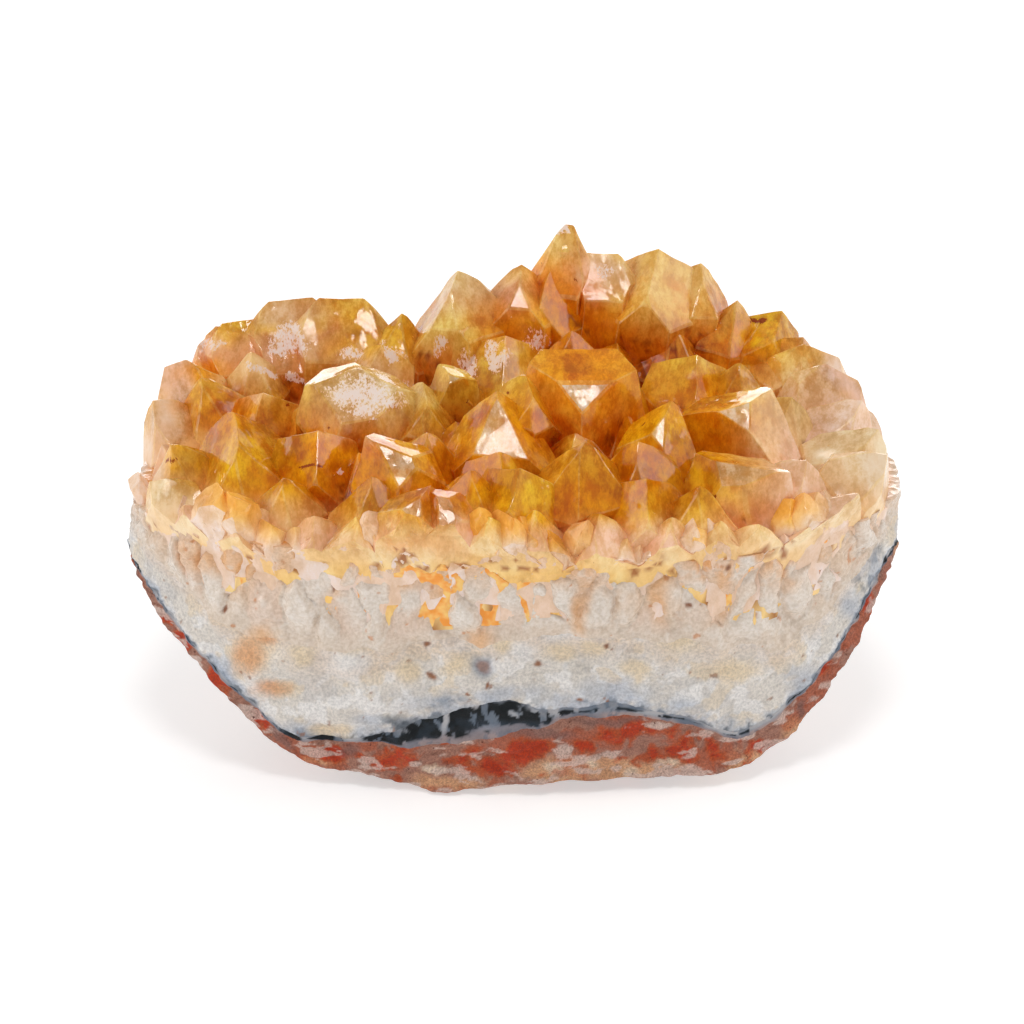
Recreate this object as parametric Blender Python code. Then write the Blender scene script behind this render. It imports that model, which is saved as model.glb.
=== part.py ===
"""Citrine cluster: a broken chunk of geode lining with a druse of citrine on top.

The four growth layers are four closed solids: a rind of red-brown basalt, a thin celadonite
seam, a bed of milky quartz, and the citrine crystals with their fused roots. Lengths are in
millimetres until a mesh is made. +X is right, +Y is away from the broken front, +Z is up.
"""

import math

import bpy
import numpy as np

for old in list(bpy.data.objects):
    bpy.data.objects.remove(old)

millimetre = 0.001
layerGap = 0.35  # clear height between one layer and the next
centring = (0.0, -2.12, 0.0)  # moves the finished piece onto the middle of the frame

# The rim, station by station round the plan, anticlockwise from the right end.
# x, y, then the heights of the underside, rind top, seam top, bed top and root top there.
rimStations = [
    (40.0, 1.5, 20.6, 22.0, 22.8, 25.4, 28.0),
    (39.0, 7.5, 21.0, 23.4, 24.2, 26.4, 28.8),
    (36.0, 13.0, 20.6, 24.0, 24.8, 27.0, 29.6),
    (31.6, 18.6, 20.0, 23.8, 24.6, 27.2, 30.2),
    (24.5, 22.8, 19.2, 23.2, 24.1, 27.0, 30.8),
    (15.0, 25.8, 18.6, 22.6, 23.5, 26.6, 31.2),
    (5.0, 26.0, 18.2, 22.2, 23.0, 26.4, 31.4),
    (-5.5, 25.0, 18.2, 21.8, 22.6, 26.2, 31.2),
    (-15.5, 24.0, 18.4, 21.8, 22.7, 26.2, 30.8),
    (-25.0, 22.6, 18.8, 21.8, 22.6, 26.0, 30.2),
    (-32.6, 19.2, 19.4, 22.0, 22.8, 26.0, 29.4),
    (-37.0, 12.0, 19.8, 22.0, 22.7, 26.0, 28.8),
    (-39.2, 5.0, 20.0, 21.6, 22.3, 25.6, 28.0),
    (-40.0, -1.5, 19.8, 20.8, 21.5, 25.0, 27.4),
    (-38.6, -6.6, 18.2, 19.1, 19.8, 24.0, 27.6),
    (-35.6, -10.8, 15.2, 16.5, 17.3, 22.2, 28.2),
    (-31.8, -14.2, 11.6, 12.8, 13.6, 19.6, 28.6),
    (-27.2, -17.0, 6.7, 8.6, 9.4, 17.6, 28.8),
    (-21.8, -18.8, 2.7, 5.0, 5.9, 16.8, 29.0),
    (-14.6, -20.2, 1.6, 5.6, 6.8, 17.4, 29.0),
    (-8.2, -21.0, 0.4, 5.8, 9.3, 18.2, 29.0),
    (-1.4, -21.6, 1.2, 7.8, 11.6, 19.2, 29.0),
    (5.0, -21.4, 1.5, 9.2, 10.6, 19.3, 28.6),
    (11.2, -21.0, 1.6, 9.8, 10.9, 19.0, 28.2),
    (17.2, -20.0, 1.6, 8.4, 9.4, 18.4, 28.0),
    (23.0, -18.6, 2.0, 5.7, 6.6, 17.0, 28.0),
    (28.8, -16.0, 4.4, 8.3, 9.2, 16.4, 28.0),
    (33.2, -12.4, 9.8, 13.3, 14.2, 19.4, 28.0),
    (37.0, -8.0, 15.8, 18.2, 19.0, 23.0, 27.8),
    (39.4, -3.6, 19.6, 21.2, 22.0, 24.8, 27.8),
]
centreHeights = (0.0, 5.2, 6.6, 20.0, 30.5)  # the same five heights in the middle of the plan
rimPoints = 60  # vertices round each ring

bowlRings = (0.42, 0.56, 0.68, 0.79, 0.9, 1.0)  # plan radii of the bowl-shaped faces' rings
bedRings = (0.35, 0.7, 1.0)  # and of the flatter faces'
bowlStart = 0.42  # the underside is flat out to here
bowlPower = 1.6
bedPower = 2.0

# The broken front: it leans back below the lip and is hackly.
frontLean = 4.0
lipHeight = 31.0
frontReach = (-4.0, -17.0)  # the lean and the hackle fade in between these depths
hackle = 0.45
rippleGain = 1.35  # brings the mean of three sines to about unit height

# The photo's sight lines, which place the crystals: the eye looks along +Y and down.
sight = {
    "distance": 450.0,
    "elevation": 25.0,
    "aimHeight": 24.3,
    "span": (0.8, 1.2),  # the piece lies between these shares of the distance
    "halvings": 40,
}

# The crest that the tips reach: height in the middle, rise per mm of depth, droop to the ends.
crest = {"height": 39.5, "rise": 0.05, "droop": 0.0038}

prismUnevenness = 0.09  # share by which a prism's sides differ in distance
pyramidTilt = 51.8  # angle of a rhombohedral face's normal to the crystal's axis
footLevel = 25.0  # crystals are placed in the roots by where their axes pass this height
footSpread = 0.6  # of a crystal's width, how far from its axis its foot reaches
footClearance = 1.2  # crystals end this far above the bed, in the roots
knifeRelief = 0.4  # crystals cut by the broken edge stand this far out of it
knifeThickness = 30.0
knifeHeights = (14.0, 20.0, 25.0, 30.0, 35.0, 40.0, 62.0)

# Crystals seen in the photo, each by its tip. across and up are millimetres in the picture
# through the object's middle, from its centre line and from the height aimed at. proud is
# the tip's height above the crest, width is across the prism, lean is degrees to the right
# and to the front, spin turns the faces, and habit names how the six end faces share the tip.
crystalsSeen = [
    # across, up, proud, width, lean right, lean front, spin, habit
    # along the front lip, left to right
    (-38.4, 3.1, -2.0, 8.0, -34, 10, 10, "blunt"),
    (-35.9, 7.0, -0.5, 9.0, -20, 10, 24, "six"),
    (-29.0, 9.2, 0.8, 12.5, -6, 14, 8, "chisel"),
    (-20.5, 8.6, -0.4, 9.5, 2, 12, 30, "three"),
    (-31.6, 2.6, -3.4, 9.5, -16, 12, 40, "blunt"),
    (-24.0, 3.5, -2.4, 7.0, -4, 14, 14, "six"),
    (-14.8, 3.6, -2.2, 9.0, -2, 12, 20, "six"),
    (-4.6, 4.2, -1.8, 8.5, 2, 12, 40, "six"),
    (0.6, 4.6, -1.4, 8.5, 4, 14, 16, "three"),
    (7.4, 7.4, 0.2, 10.0, 2, 8, 0, "six"),
    (12.8, 7.5, 0.0, 8.5, -2, 12, 22, "blunt"),
    (13.7, 3.6, -2.4, 8.5, 4, 14, 38, "three"),
    (19.4, 2.6, -2.6, 8.5, 2, 12, 12, "six"),
    (30.5, 5.6, -0.6, 10.5, 20, 10, 30, "blunt"),
    (25.4, -1.0, -4.4, 8.5, 8, 12, 26, "blunt"),
    (31.5, -1.4, -4.2, 9.0, 18, 12, 6, "blunt"),
    (36.6, -2.0, -3.6, 8.0, 30, 10, 34, "six"),
    (36.0, 2.0, -2.0, 8.5, 32, 8, 20, "six"),
    (39.2, 6.3, 0.0, 8.5, 40, 2, 44, "blunt"),
    # low ones against the broken face
    (-34.6, 0.6, -3.8, 7.5, -24, 12, 14, "six"),
    (-29.2, -0.8, -5.0, 7.5, -10, 12, 32, "three"),
    (-26.4, 0.4, -4.6, 7.0, -4, 10, 8, "six"),
    (-21.0, -0.2, -4.8, 8.0, -2, 10, 22, "blunt"),
    (-16.6, -0.6, -5.0, 7.0, 0, 10, 46, "six"),
    (-2.6, -0.4, -4.8, 7.5, 2, 10, 18, "three"),
    (2.2, 0.2, -4.6, 7.0, 2, 10, 34, "six"),
    (8.8, 0.0, -4.8, 8.0, 2, 10, 12, "blunt"),
    (16.6, -0.6, -5.0, 7.5, 4, 10, 28, "six"),
    (21.6, -1.0, -5.0, 7.5, 6, 10, 6, "six"),
    # the second row
    (-32.8, 14.0, 0.2, 11.0, -14, 8, 34, "six"),
    (-26.3, 12.5, -0.4, 9.0, -2, 10, 12, "three"),
    (-20.5, 12.5, -1.0, 8.0, 0, 14, 26, "six"),
    (-9.3, 12.7, -0.6, 9.0, 2, 12, 8, "chisel"),
    (-9.0, 8.2, -1.2, 7.5, 6, 14, 33, "six"),
    (1.6, 13.4, 1.2, 8.0, 6, 12, 14, "chisel"),
    (11.6, 12.0, -1.0, 8.0, 8, 12, 44, "six"),
    (19.0, 16.4, 0.2, 9.5, 6, 8, 30, "three"),
    (28.8, 12.5, 0.0, 10.5, 16, 6, 18, "blunt"),
    (32.4, 17.2, 0.6, 9.0, 22, -2, 88, "chisel"),
    (34.6, 14.9, 0.6, 8.5, 28, 0, 84, "chisel"),
    (36.4, 12.0, 0.4, 8.5, 30, 2, 20, "blunt"),
    (38.2, 9.0, 0.2, 9.0, 34, 2, 8, "blunt"),
    (-38.2, 11.8, -0.2, 9.5, -26, 2, 20, "blunt"),
    (-36.2, 15.6, 0.2, 9.0, -22, -2, 88, "chisel"),
    # the middle rows
    (-27.6, 16.7, -0.4, 7.5, -4, 8, 40, "six"),
    (-33.3, 18.8, 0.4, 9.5, -16, 0, 14, "blunt"),
    (-23.9, 20.0, 0.2, 9.0, -2, 6, 32, "blunt"),
    (-16.4, 20.4, 0.0, 8.5, 2, 6, 10, "three"),
    (-13.8, 17.6, -0.4, 7.5, 4, 8, 0, "three"),
    (-7.9, 20.6, 0.0, 8.0, 0, 4, 24, "six"),
    (-6.2, 15.0, -1.0, 8.0, 2, 10, 44, "six"),
    (-1.1, 18.4, 0.2, 10.5, 2, 8, 30, "three"),
    (-2.0, 23.3, 1.0, 9.0, 0, 0, 16, "blunt"),
    (6.0, 19.0, 0.2, 9.5, 0, 6, 20, "six"),
    (16.5, 20.4, 0.4, 10.0, 4, 4, 48, "six"),
    (23.6, 15.5, -0.2, 9.0, 10, 6, 26, "six"),
    (25.5, 20.2, 0.4, 9.0, 12, 0, 10, "blunt"),
    (30.0, 18.4, 0.6, 9.0, 20, -2, 36, "three"),
    # the far crest
    (-31.8, 20.7, 1.2, 7.0, -14, -8, 30, "six"),
    (-28.6, 20.3, 1.0, 8.0, -8, -6, 92, "chisel"),
    (-23.3, 22.7, 2.4, 10.0, -6, -6, 90, "chisel"),
    (-17.9, 22.8, 2.4, 10.0, 0, -6, 86, "chisel"),
    (-11.8, 20.8, 0.6, 8.0, 4, -6, 22, "six"),
    (-6.2, 25.6, 5.0, 10.5, -6, -6, 8, "blunt"),
    (0.6, 26.2, 5.0, 8.5, 2, -8, 28, "blunt"),
    (3.9, 26.0, 4.2, 10.5, 2, 2, 14, "three"),
    (5.3, 30.5, 8.8, 4.2, 1, -2, 22, "three"),
    (9.4, 27.3, 5.4, 7.0, 4, -8, 88, "chisel"),
    (15.0, 27.6, 6.2, 11.5, 4, 0, 18, "three"),
    (19.4, 26.2, 4.8, 8.0, 10, -4, 44, "blunt"),
    (23.4, 22.0, 1.6, 8.0, 14, -6, 5, "six"),
    (27.8, 21.0, 1.6, 7.5, 18, -6, 26, "three"),
]

# Smaller crystals between those, in gaps and behind the crest.
filler = {
    "seed": 11,
    "tries": 400,
    "reach": 0.95,  # share of the plan radius they fill
    "width": (6.5, 9.0),
    "drop": (2.0, 4.5),  # tips below the crest
    "spacing": 4.6,
    "fan": 0.7,  # degrees of lean for each mm from the middle
    "sway": 8.0,  # and at random either way
}

# Facets that catch the light in the photo. Each is the top of a crystal whose other faces run
# down from the facet's edges: corners (across, up), height of the first one above the crest,
# the facet's turn to the right and its slope from level, both in degrees, and the width.
facetsSeen = [
    ("kite", [(-14.4, 7.3), (-10.5, 5.7), (-10.1, 4.6), (-11.9, 2.5)], 0.0, 4, 42, 9.0),
    ("shine", [(10.3, 13.6), (4.6, 13.5), (7.1, 10.3)], 1.2, -2, 42, 13.0),
    ("sail", [(24.8, 11.5), (24.8, 8.4), (21.3, 10.4)], 0.6, 2, 40, 11.0),
    ("fin", [(15.7, 10.2), (15.5, 6.5), (14.1, 8.1)], 0.2, -4, 42, 8.0),
    ("chip", [(-11.8, 0.3), (-9.7, 1.5), (-9.7, -1.2), (-10.5, -1.2)], -3.0, 0, 44, 7.5),
    ("blade", [(-8.0, 1.7), (-6.8, 1.5), (-6.0, -0.7), (-6.3, -2.3), (-7.6, -3.0)], -2.6, 2, 46, 7.5),
    ("ell", [(-1.8, 12.0), (1.7, 5.4), (-4.4, 6.0)], 0.6, -3, 40, 11.0),
    ("frost", [(-20.9, 13.3), (-16.4, 15.2), (-12.2, 13.0), (-12.4, 11.5), (-14.5, 9.9), (-18.2, 9.2)],
     0.8, -8, 30, 12.5),
    ("band", [(21.1, 5.4), (27.6, 4.2), (24.1, 2.8), (21.6, 2.6)], -1.0, 6, 36, 10.5),
    ("spark", [(-6.8, 14.5), (-5.5, 14.0), (-6.8, 13.4)], -0.2, 0, 42, 5.0),
]
facetFall = 48.0  # angle between a facet and the faces round it
facetUpright = 1.2  # how far the crystal's axis is turned from the facet's normal to the upright
facetSpin = 29.0
firstFall = {"shine": 24.0, "sail": 36.0, "frost": 36.0}  # where the first edge has another angle

parallel = 1e-6  # three planes with a smaller determinant meet in no corner
coincident = 1e-4

faceShares = {
    # how far each of the six end faces stands back from the tip, as a share of the width
    "six": (0.0, 0.03, 0.0, 0.04, 0.01, 0.02),
    "three": (0.0, 0.2, 0.02, 0.17, 0.0, 0.22),
    "chisel": (-0.02, 0.16, 0.12, -0.03, 0.14, 0.18),
    "blunt": (-0.05, 0.05, -0.02, 0.08, 0.0, 0.03),
}


def ripple(a, b, seed):
    """Smooth noise of about unit height: a mean of three crossed sines."""
    return (
        np.sin(0.41 * a + 0.23 * b + 1.7 * seed)
        + np.sin(0.83 * b - 0.37 * a + 2.9 * seed)
        + np.sin(1.13 * a + 0.71 * b + 0.6 * seed)
    ) / 3 * rippleGain


def smooth(t):
    t = np.clip(t, 0.0, 1.0)
    return t * t * (3 - 2 * t)


def roundRim(count):
    """Rim stations resampled evenly round the plan, by closed Catmull-Rom curves."""
    knots = np.array(rimStations)
    position = np.arange(count) / count * len(knots)
    index = np.floor(position).astype(int)
    t = (position - index)[:, None]
    before, start, end, after = (knots[(index + k) % len(knots)] for k in (-1, 0, 1, 2))
    return 0.5 * (
        2 * start
        + (end - before) * t
        + (2 * before - 5 * start + 4 * end - after) * t**2
        + (3 * start - before - 3 * end + after) * t**3
    )


def breakFront(points):
    """Leans and hackles whatever lies near the front: y += lean (1 - z / lip) + hackle noise."""
    bent = np.array(points, float)
    share = smooth((bent[..., 1] - frontReach[0]) / (frontReach[1] - frontReach[0]))
    drop = 1 - bent[..., 2] / lipHeight
    bent[..., 1] += share * (frontLean * drop + hackle * ripple(bent[..., 0], bent[..., 2], 1.0))
    return bent


def layerFace(rim, level, rings, power, start, lift=0.0):
    """One face of a layer, ring by ring: height goes from the centre's to the rim's as
    ((s - start) / (1 - start)) ** power, s being the share of the plan radius."""
    s = np.array((0.0,) + rings)[:, None]
    rise = (np.clip(s - start, 0, None) / (1 - start)) ** power
    x = s * rim[None, :, 0]
    y = s * rim[None, :, 1]
    z = centreHeights[level] + (rim[None, :, 2 + level] - centreHeights[level]) * rise + lift
    return np.stack([x, y, z], axis=-1)


def solidBetween(name, lower, upper, material):
    """A closed solid from two faces with the same rim: two fans, their bands and the edge wall."""
    count = lower.shape[1]
    points = []
    faces = []

    def addFace(rings, up):
        base = len(points)
        points.append(rings[0].mean(axis=0))
        for ring in rings[1:]:
            points.extend(ring)
        for k in range(count):
            n = (k + 1) % count
            fan = (base, base + 1 + k, base + 1 + n)
            faces.append(fan if up else fan[::-1])
            for r in range(len(rings) - 2):
                a = base + 1 + r * count
                b = a + count
                quad = (a + k, b + k, b + n, a + n)
                faces.append(quad if up else quad[::-1])
        return base + 1 + (len(rings) - 2) * count

    low = addFace(breakFront(lower), False)
    high = addFace(breakFront(upper), True)
    for k in range(count):
        n = (k + 1) % count
        faces.append((low + k, low + n, high + n, high + k))
    return makeObject(name, points, faces, material)


def makeObject(name, points, faces, material):
    mesh = bpy.data.meshes.new(name)
    placed = (np.array(points) + centring) * millimetre
    mesh.from_pydata(placed.tolist(), [], faces)
    mesh.update()
    if material is not None:
        mesh.materials.append(material)
    obj = bpy.data.objects.new(name, mesh)
    bpy.context.collection.objects.link(obj)
    return obj


def makeMaterial(name, colour, roughness, transmission=0.0):
    material = bpy.data.materials.new(name)
    material.use_nodes = True
    shader = material.node_tree.nodes["Principled BSDF"]
    shader.inputs["Base Color"].default_value = (*colour, 1.0)
    shader.inputs["Roughness"].default_value = roughness
    shader.inputs["Metallic"].default_value = 0.0
    shader.inputs["Transmission Weight"].default_value = transmission
    material.diffuse_color = (*colour, 1.0)
    return material


def crestHeight(x, y):
    return crest["height"] + crest["rise"] * y - crest["droop"] * x * x


def sightLine(across, up):
    """Eye and direction of the sight line through a point of the picture."""
    tilt = math.radians(sight["elevation"])
    ahead = np.array([0.0, math.cos(tilt), -math.sin(tilt)])
    upward = np.array([0.0, math.sin(tilt), math.cos(tilt)])
    aim = np.array([0.0, 0.0, sight["aimHeight"]])
    eye = aim - sight["distance"] * ahead
    return eye, aim + upward * up + np.array([across, 0.0, 0.0]) - eye


def seenPoint(across, up, proud):
    """Where the sight line comes down to `proud` above the crest."""
    eye, ray = sightLine(across, up)
    near, far = sight["span"]
    for _ in range(sight["halvings"]):
        middle = (near + far) / 2
        point = eye + middle * ray
        if point[2] > crestHeight(point[0], point[1]) + proud:
            near = middle
        else:
            far = middle
    return eye + near * ray


def meetSight(across, up, normal, offset):
    """Where the sight line meets a plane."""
    eye, ray = sightLine(across, up)
    return eye + ray * (offset - normal @ eye) / (normal @ ray)


def footOf(point, axis):
    """Where a crystal's axis comes down to the roots."""
    return point - axis * (point[2] - footLevel) / axis[2]


def axisOf(leanRight, leanFront):
    axis = np.array([math.tan(math.radians(leanRight)), -math.tan(math.radians(leanFront)), 1.0])
    return axis / np.linalg.norm(axis)


def prismPlanes(middle, axis, width, spin):
    """The six side faces of a crystal, a little uneven."""
    side = np.cross(axis, (0.0, 1.0, 0.0))
    side /= np.linalg.norm(side)
    front = np.cross(axis, side)
    planes = []
    for k in range(6):
        turn = math.radians(spin + 60 * k)
        radial = math.cos(turn) * side + math.sin(turn) * front
        uneven = 1 + prismUnevenness * math.sin(2.1 * k + spin)
        planes.append((radial, radial @ middle + width / 2 * uneven))
    return planes


def layerHeight(rim, level, x, y):
    """Height of a flatter layer face at x, y, by its share of the plan radius."""
    bearings = np.arctan2(rim[:, 1], rim[:, 0])
    bearing = np.arctan2(y, x)
    radii = np.hypot(rim[:, 0], rim[:, 1])
    reach = np.interp(bearing, bearings, radii, period=2 * math.pi)
    edge = np.interp(bearing, bearings, rim[:, 2 + level], period=2 * math.pi)
    share = np.clip(np.hypot(x, y) / reach, 0, 1)
    return centreHeights[level] + (edge - centreHeights[level]) * share**bedPower


def basePlane(foot, width):
    """The level end of a crystal, in the roots just above the highest bed below it."""
    turns = np.linspace(0, 2 * math.pi, 9)
    x = foot[0] + footSpread * width * np.cos(turns)
    y = foot[1] + footSpread * width * np.sin(turns)
    bed = layerHeight(roundRim(rimPoints), 3, x, y)
    return (np.array([0.0, 0.0, -1.0]), -(bed.max() + footClearance))


def crystalPlanes(tip, axis, width, spin, shares):
    """Planes (normal, distance) of a whole crystal: sides, six end faces and the base."""
    tilt = math.radians(pyramidTilt)
    planes = prismPlanes(tip, axis, width, spin)
    for (radial, _), share in zip(list(planes), shares):
        end = math.sin(tilt) * radial + math.cos(tilt) * axis
        planes.append((end, end @ tip + share * width))
    planes.append(basePlane(footOf(tip, axis), width))
    return planes


def facetPlanes(name, corners, proud, turn, slope, width):
    """Planes of a crystal that shows one measured facet, its other faces falling away from it."""
    turn = math.radians(turn)
    slope = math.radians(slope)
    up = np.array(
        [math.sin(slope) * math.sin(turn), -math.sin(slope) * math.cos(turn), math.cos(slope)]
    )
    first = seenPoint(*corners[0], proud)
    points = [meetSight(across, height, up, up @ first) for across, height in corners]
    middle = np.mean(points, axis=0)
    planes = [(up, up @ first)]
    for side, (start, end) in enumerate(zip(points, points[1:] + points[:1])):
        fall = math.radians(firstFall.get(name, facetFall) if side == 0 else facetFall)
        outward = np.cross(end - start, up)
        outward /= np.linalg.norm(outward)
        if outward @ (middle - start) > 0:
            outward = -outward
        face = math.cos(fall) * up + math.sin(fall) * outward
        planes.append((face, face @ start))
    axis = up + np.array([0.0, 0.0, facetUpright])
    axis /= np.linalg.norm(axis)
    planes += prismPlanes(middle, axis, width, facetSpin)
    planes.append(basePlane(footOf(middle, axis), width))
    return planes


def polyhedron(planes):
    """Corners and faces of the convex body inside the planes, from every meeting of three."""
    normals = np.array([p[0] for p in planes])
    offsets = np.array([p[1] for p in planes])
    corners = []
    for i in range(len(planes)):
        for j in range(i + 1, len(planes)):
            for k in range(j + 1, len(planes)):
                three = normals[[i, j, k]]
                if abs(np.linalg.det(three)) < parallel:
                    continue
                corner = np.linalg.solve(three, offsets[[i, j, k]])
                inside = (normals @ corner <= offsets + coincident).all()
                if inside and all(np.linalg.norm(corner - c) > coincident for c in corners):
                    corners.append(corner)
    corners = np.array(corners)
    faces = []
    for normal, offset in planes:
        on = np.flatnonzero(np.abs(corners @ normal - offset) < coincident)
        if len(on) < 3:
            continue
        middle = corners[on].mean(axis=0)
        first = corners[on[0]] - middle
        first /= np.linalg.norm(first)
        second = np.cross(normal, first)
        angles = np.arctan2((corners[on] - middle) @ second, (corners[on] - middle) @ first)
        faces.append(tuple(on[np.argsort(angles)]))
    return corners, faces


def crystalBodies():
    bodies = []
    taken = []
    for across, up, proud, width, leanRight, leanFront, spin, habit in crystalsSeen:
        tip = seenPoint(across, up, proud)
        axis = axisOf(leanRight, leanFront)
        planes = crystalPlanes(tip, axis, width, spin, faceShares[habit])
        bodies.append(polyhedron(planes))
        taken.append(fillerSpot(tip, axis))
    for facet in facetsSeen:
        bodies.append(polyhedron(facetPlanes(*facet)))
        taken.append(tuple(bodies[-1][0][:, :2].mean(axis=0)))
    return bodies + fillerBodies(taken)


def fillerSpot(tip, axis):
    """Where a crystal is, for the distances between crystals: two thirds of the way up it."""
    spot = (2 * tip + footOf(tip, axis)) / 3
    return tuple(spot[:2])


def fillerBodies(taken):
    """Smaller crystals in the gaps that the photo doesn't show, scattered with a fixed seed."""
    draw = np.random.default_rng(filler["seed"])
    rim = roundRim(72)
    habits = sorted(faceShares)
    bodies = []
    for _ in range(filler["tries"]):
        turn = draw.uniform(0, 2 * math.pi)
        share = math.sqrt(draw.uniform(0, 1)) * filler["reach"]
        x, y = share * rim[int(turn / (2 * math.pi) * len(rim)), :2]  # spread evenly by area
        size = draw.uniform(*filler["width"])
        drop = draw.uniform(*filler["drop"])
        lean = draw.uniform(-filler["sway"], filler["sway"], 2)
        spin = draw.uniform(0, 60)
        habit = habits[int(draw.integers(len(habits)))]
        if min(math.hypot(x - a, y - b) for a, b in taken) < filler["spacing"]:
            continue
        taken.append((x, y))
        axis = axisOf(x * filler["fan"] + lean[0], -y * filler["fan"] + lean[1])
        tip = np.array([x, y, crestHeight(x, y) - drop])
        bodies.append(polyhedron(crystalPlanes(tip, axis, size, spin, faceShares[habit])))
    return bodies


def joinedMesh(name, bodies):
    points = []
    faces = []
    for corners, rings in bodies:
        base = len(points)
        points.extend(corners)
        faces.extend(tuple(base + i for i in ring) for ring in rings)
    return makeObject(name, points, faces, None)


def hide(helper):
    helper.hide_render = True
    helper.display_type = "WIRE"


def boolean(obj, operation, other, selfOverlap=False):
    modifier = obj.modifiers.new(operation.title(), "BOOLEAN")
    modifier.operation = operation
    modifier.object = other
    modifier.solver = "EXACT"
    modifier.use_self = selfOverlap
    hide(other)


def rimKnife(rim):
    """A thick wall round the broken edge, which trims the crystals that stand out over it."""
    reach = np.hypot(rim[:, 0], rim[:, 1])
    loops = []
    for width, heights in ((knifeRelief, knifeHeights), (knifeThickness, knifeHeights[::-1])):
        for z in heights:
            scale = 1 + width / reach
            loops.append(np.column_stack([rim[:, 0] * scale, rim[:, 1] * scale, np.full(len(rim), z)]))
    points = breakFront(np.stack(loops)).reshape(-1, 3)
    faces = []
    for r in range(len(loops)):
        a = r * len(rim)
        b = (r + 1) % len(loops) * len(rim)
        for k in range(len(rim)):
            n = (k + 1) % len(rim)
            faces.append((a + k, b + k, b + n, a + n))
    return makeObject("rimKnife", points, faces, None)


def buildRind(rim):
    lower = layerFace(rim, 0, bowlRings, bowlPower, bowlStart)
    upper = layerFace(rim, 1, bowlRings, bowlPower, bowlStart)
    stone = makeMaterial("basalt", (0.33, 0.14, 0.1), 0.85)
    return solidBetween("basalt_rind", lower, upper, stone)


def buildSeam(rim):
    lower = layerFace(rim, 1, bowlRings, bowlPower, bowlStart, layerGap)
    upper = layerFace(rim, 2, bowlRings, bowlPower, bowlStart)
    stone = makeMaterial("celadonite", (0.03, 0.07, 0.08), 0.5)
    return solidBetween("celadonite_seam", lower, upper, stone)


def buildBed(rim):
    lower = layerFace(rim, 2, bowlRings, bowlPower, bowlStart, layerGap)
    upper = layerFace(rim, 3, bedRings, bedPower, 0.0)
    stone = makeMaterial("milky_quartz", (0.72, 0.68, 0.62), 0.45)
    return solidBetween("milky_quartz_bed", lower, upper, stone)


def buildCrystals(rim):
    lower = layerFace(rim, 3, bedRings, bedPower, 0.0, layerGap)
    upper = layerFace(rim, 4, bedRings, bedPower, 0.0)
    citrine = makeMaterial("citrine", (0.85, 0.42, 0.05), 0.12, 0.6)
    roots = solidBetween("citrine_crystals", lower, upper, citrine)
    points = joinedMesh("crystalPoints", crystalBodies())
    boolean(points, "DIFFERENCE", rimKnife(rim), True)
    boolean(roots, "UNION", points)
    return roots


rimCurve = roundRim(rimPoints)
buildRind(rimCurve)
buildSeam(rimCurve)
buildBed(rimCurve)
buildCrystals(rimCurve)
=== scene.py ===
import functools
import itertools
import math

import bmesh
import bpy
import numpy as np
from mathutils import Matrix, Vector


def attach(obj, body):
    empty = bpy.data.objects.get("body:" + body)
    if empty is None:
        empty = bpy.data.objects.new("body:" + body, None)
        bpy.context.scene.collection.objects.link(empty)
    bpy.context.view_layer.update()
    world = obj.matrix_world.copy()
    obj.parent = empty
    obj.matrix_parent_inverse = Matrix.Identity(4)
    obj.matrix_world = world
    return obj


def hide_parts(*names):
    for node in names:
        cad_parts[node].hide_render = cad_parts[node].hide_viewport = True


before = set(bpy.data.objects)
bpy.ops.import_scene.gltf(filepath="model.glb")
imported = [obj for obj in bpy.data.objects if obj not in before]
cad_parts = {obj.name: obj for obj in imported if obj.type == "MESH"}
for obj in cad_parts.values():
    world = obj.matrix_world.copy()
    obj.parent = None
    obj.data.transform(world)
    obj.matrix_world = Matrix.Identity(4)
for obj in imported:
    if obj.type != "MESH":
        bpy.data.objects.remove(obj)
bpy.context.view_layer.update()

mm = 0.001
scene = bpy.context.scene
centring = np.array([0.0, -2.12, 0.0])  # mm, from the drawing's middle to the frame's
# A cluster of citrine on its quartz and its rind of basalt.
# Shapes are worked out in millimetres. +X is right, +Y goes away from the broken front, +Z is up.


# Meshes

pieces = []


def makePiece(name, points, faces, material, replaced=(), values=None, rounded=True):
    mesh = bpy.data.meshes.new(name)
    points = (np.asarray(points, float) + centring) * mm
    if isinstance(faces, np.ndarray):
        mesh.vertices.add(len(points))
        mesh.vertices.foreach_set("co", points.ravel())
        mesh.loops.add(faces.size)
        mesh.loops.foreach_set("vertex_index", faces.ravel())
        mesh.polygons.add(len(faces))
        mesh.polygons.foreach_set("loop_start", np.arange(len(faces)) * faces.shape[1])
        mesh.update(calc_edges=True)
    else:
        mesh.from_pydata(points.tolist(), [], faces)
    for label, row in (values or {}).items():
        mesh.attributes.new(label, "FLOAT", "POINT").data.foreach_set("value", row.astype(np.float32))
    mesh.polygons.foreach_set("use_smooth", np.full(len(mesh.polygons), rounded))
    mesh.materials.append(material)
    piece = bpy.data.objects.new(name, mesh)
    scene.collection.objects.link(piece)
    pieces.append(piece)
    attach(piece, "root")
    if replaced:
        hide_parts(*replaced)
    print(name, len(mesh.polygons), "faces")
    return piece


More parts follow.
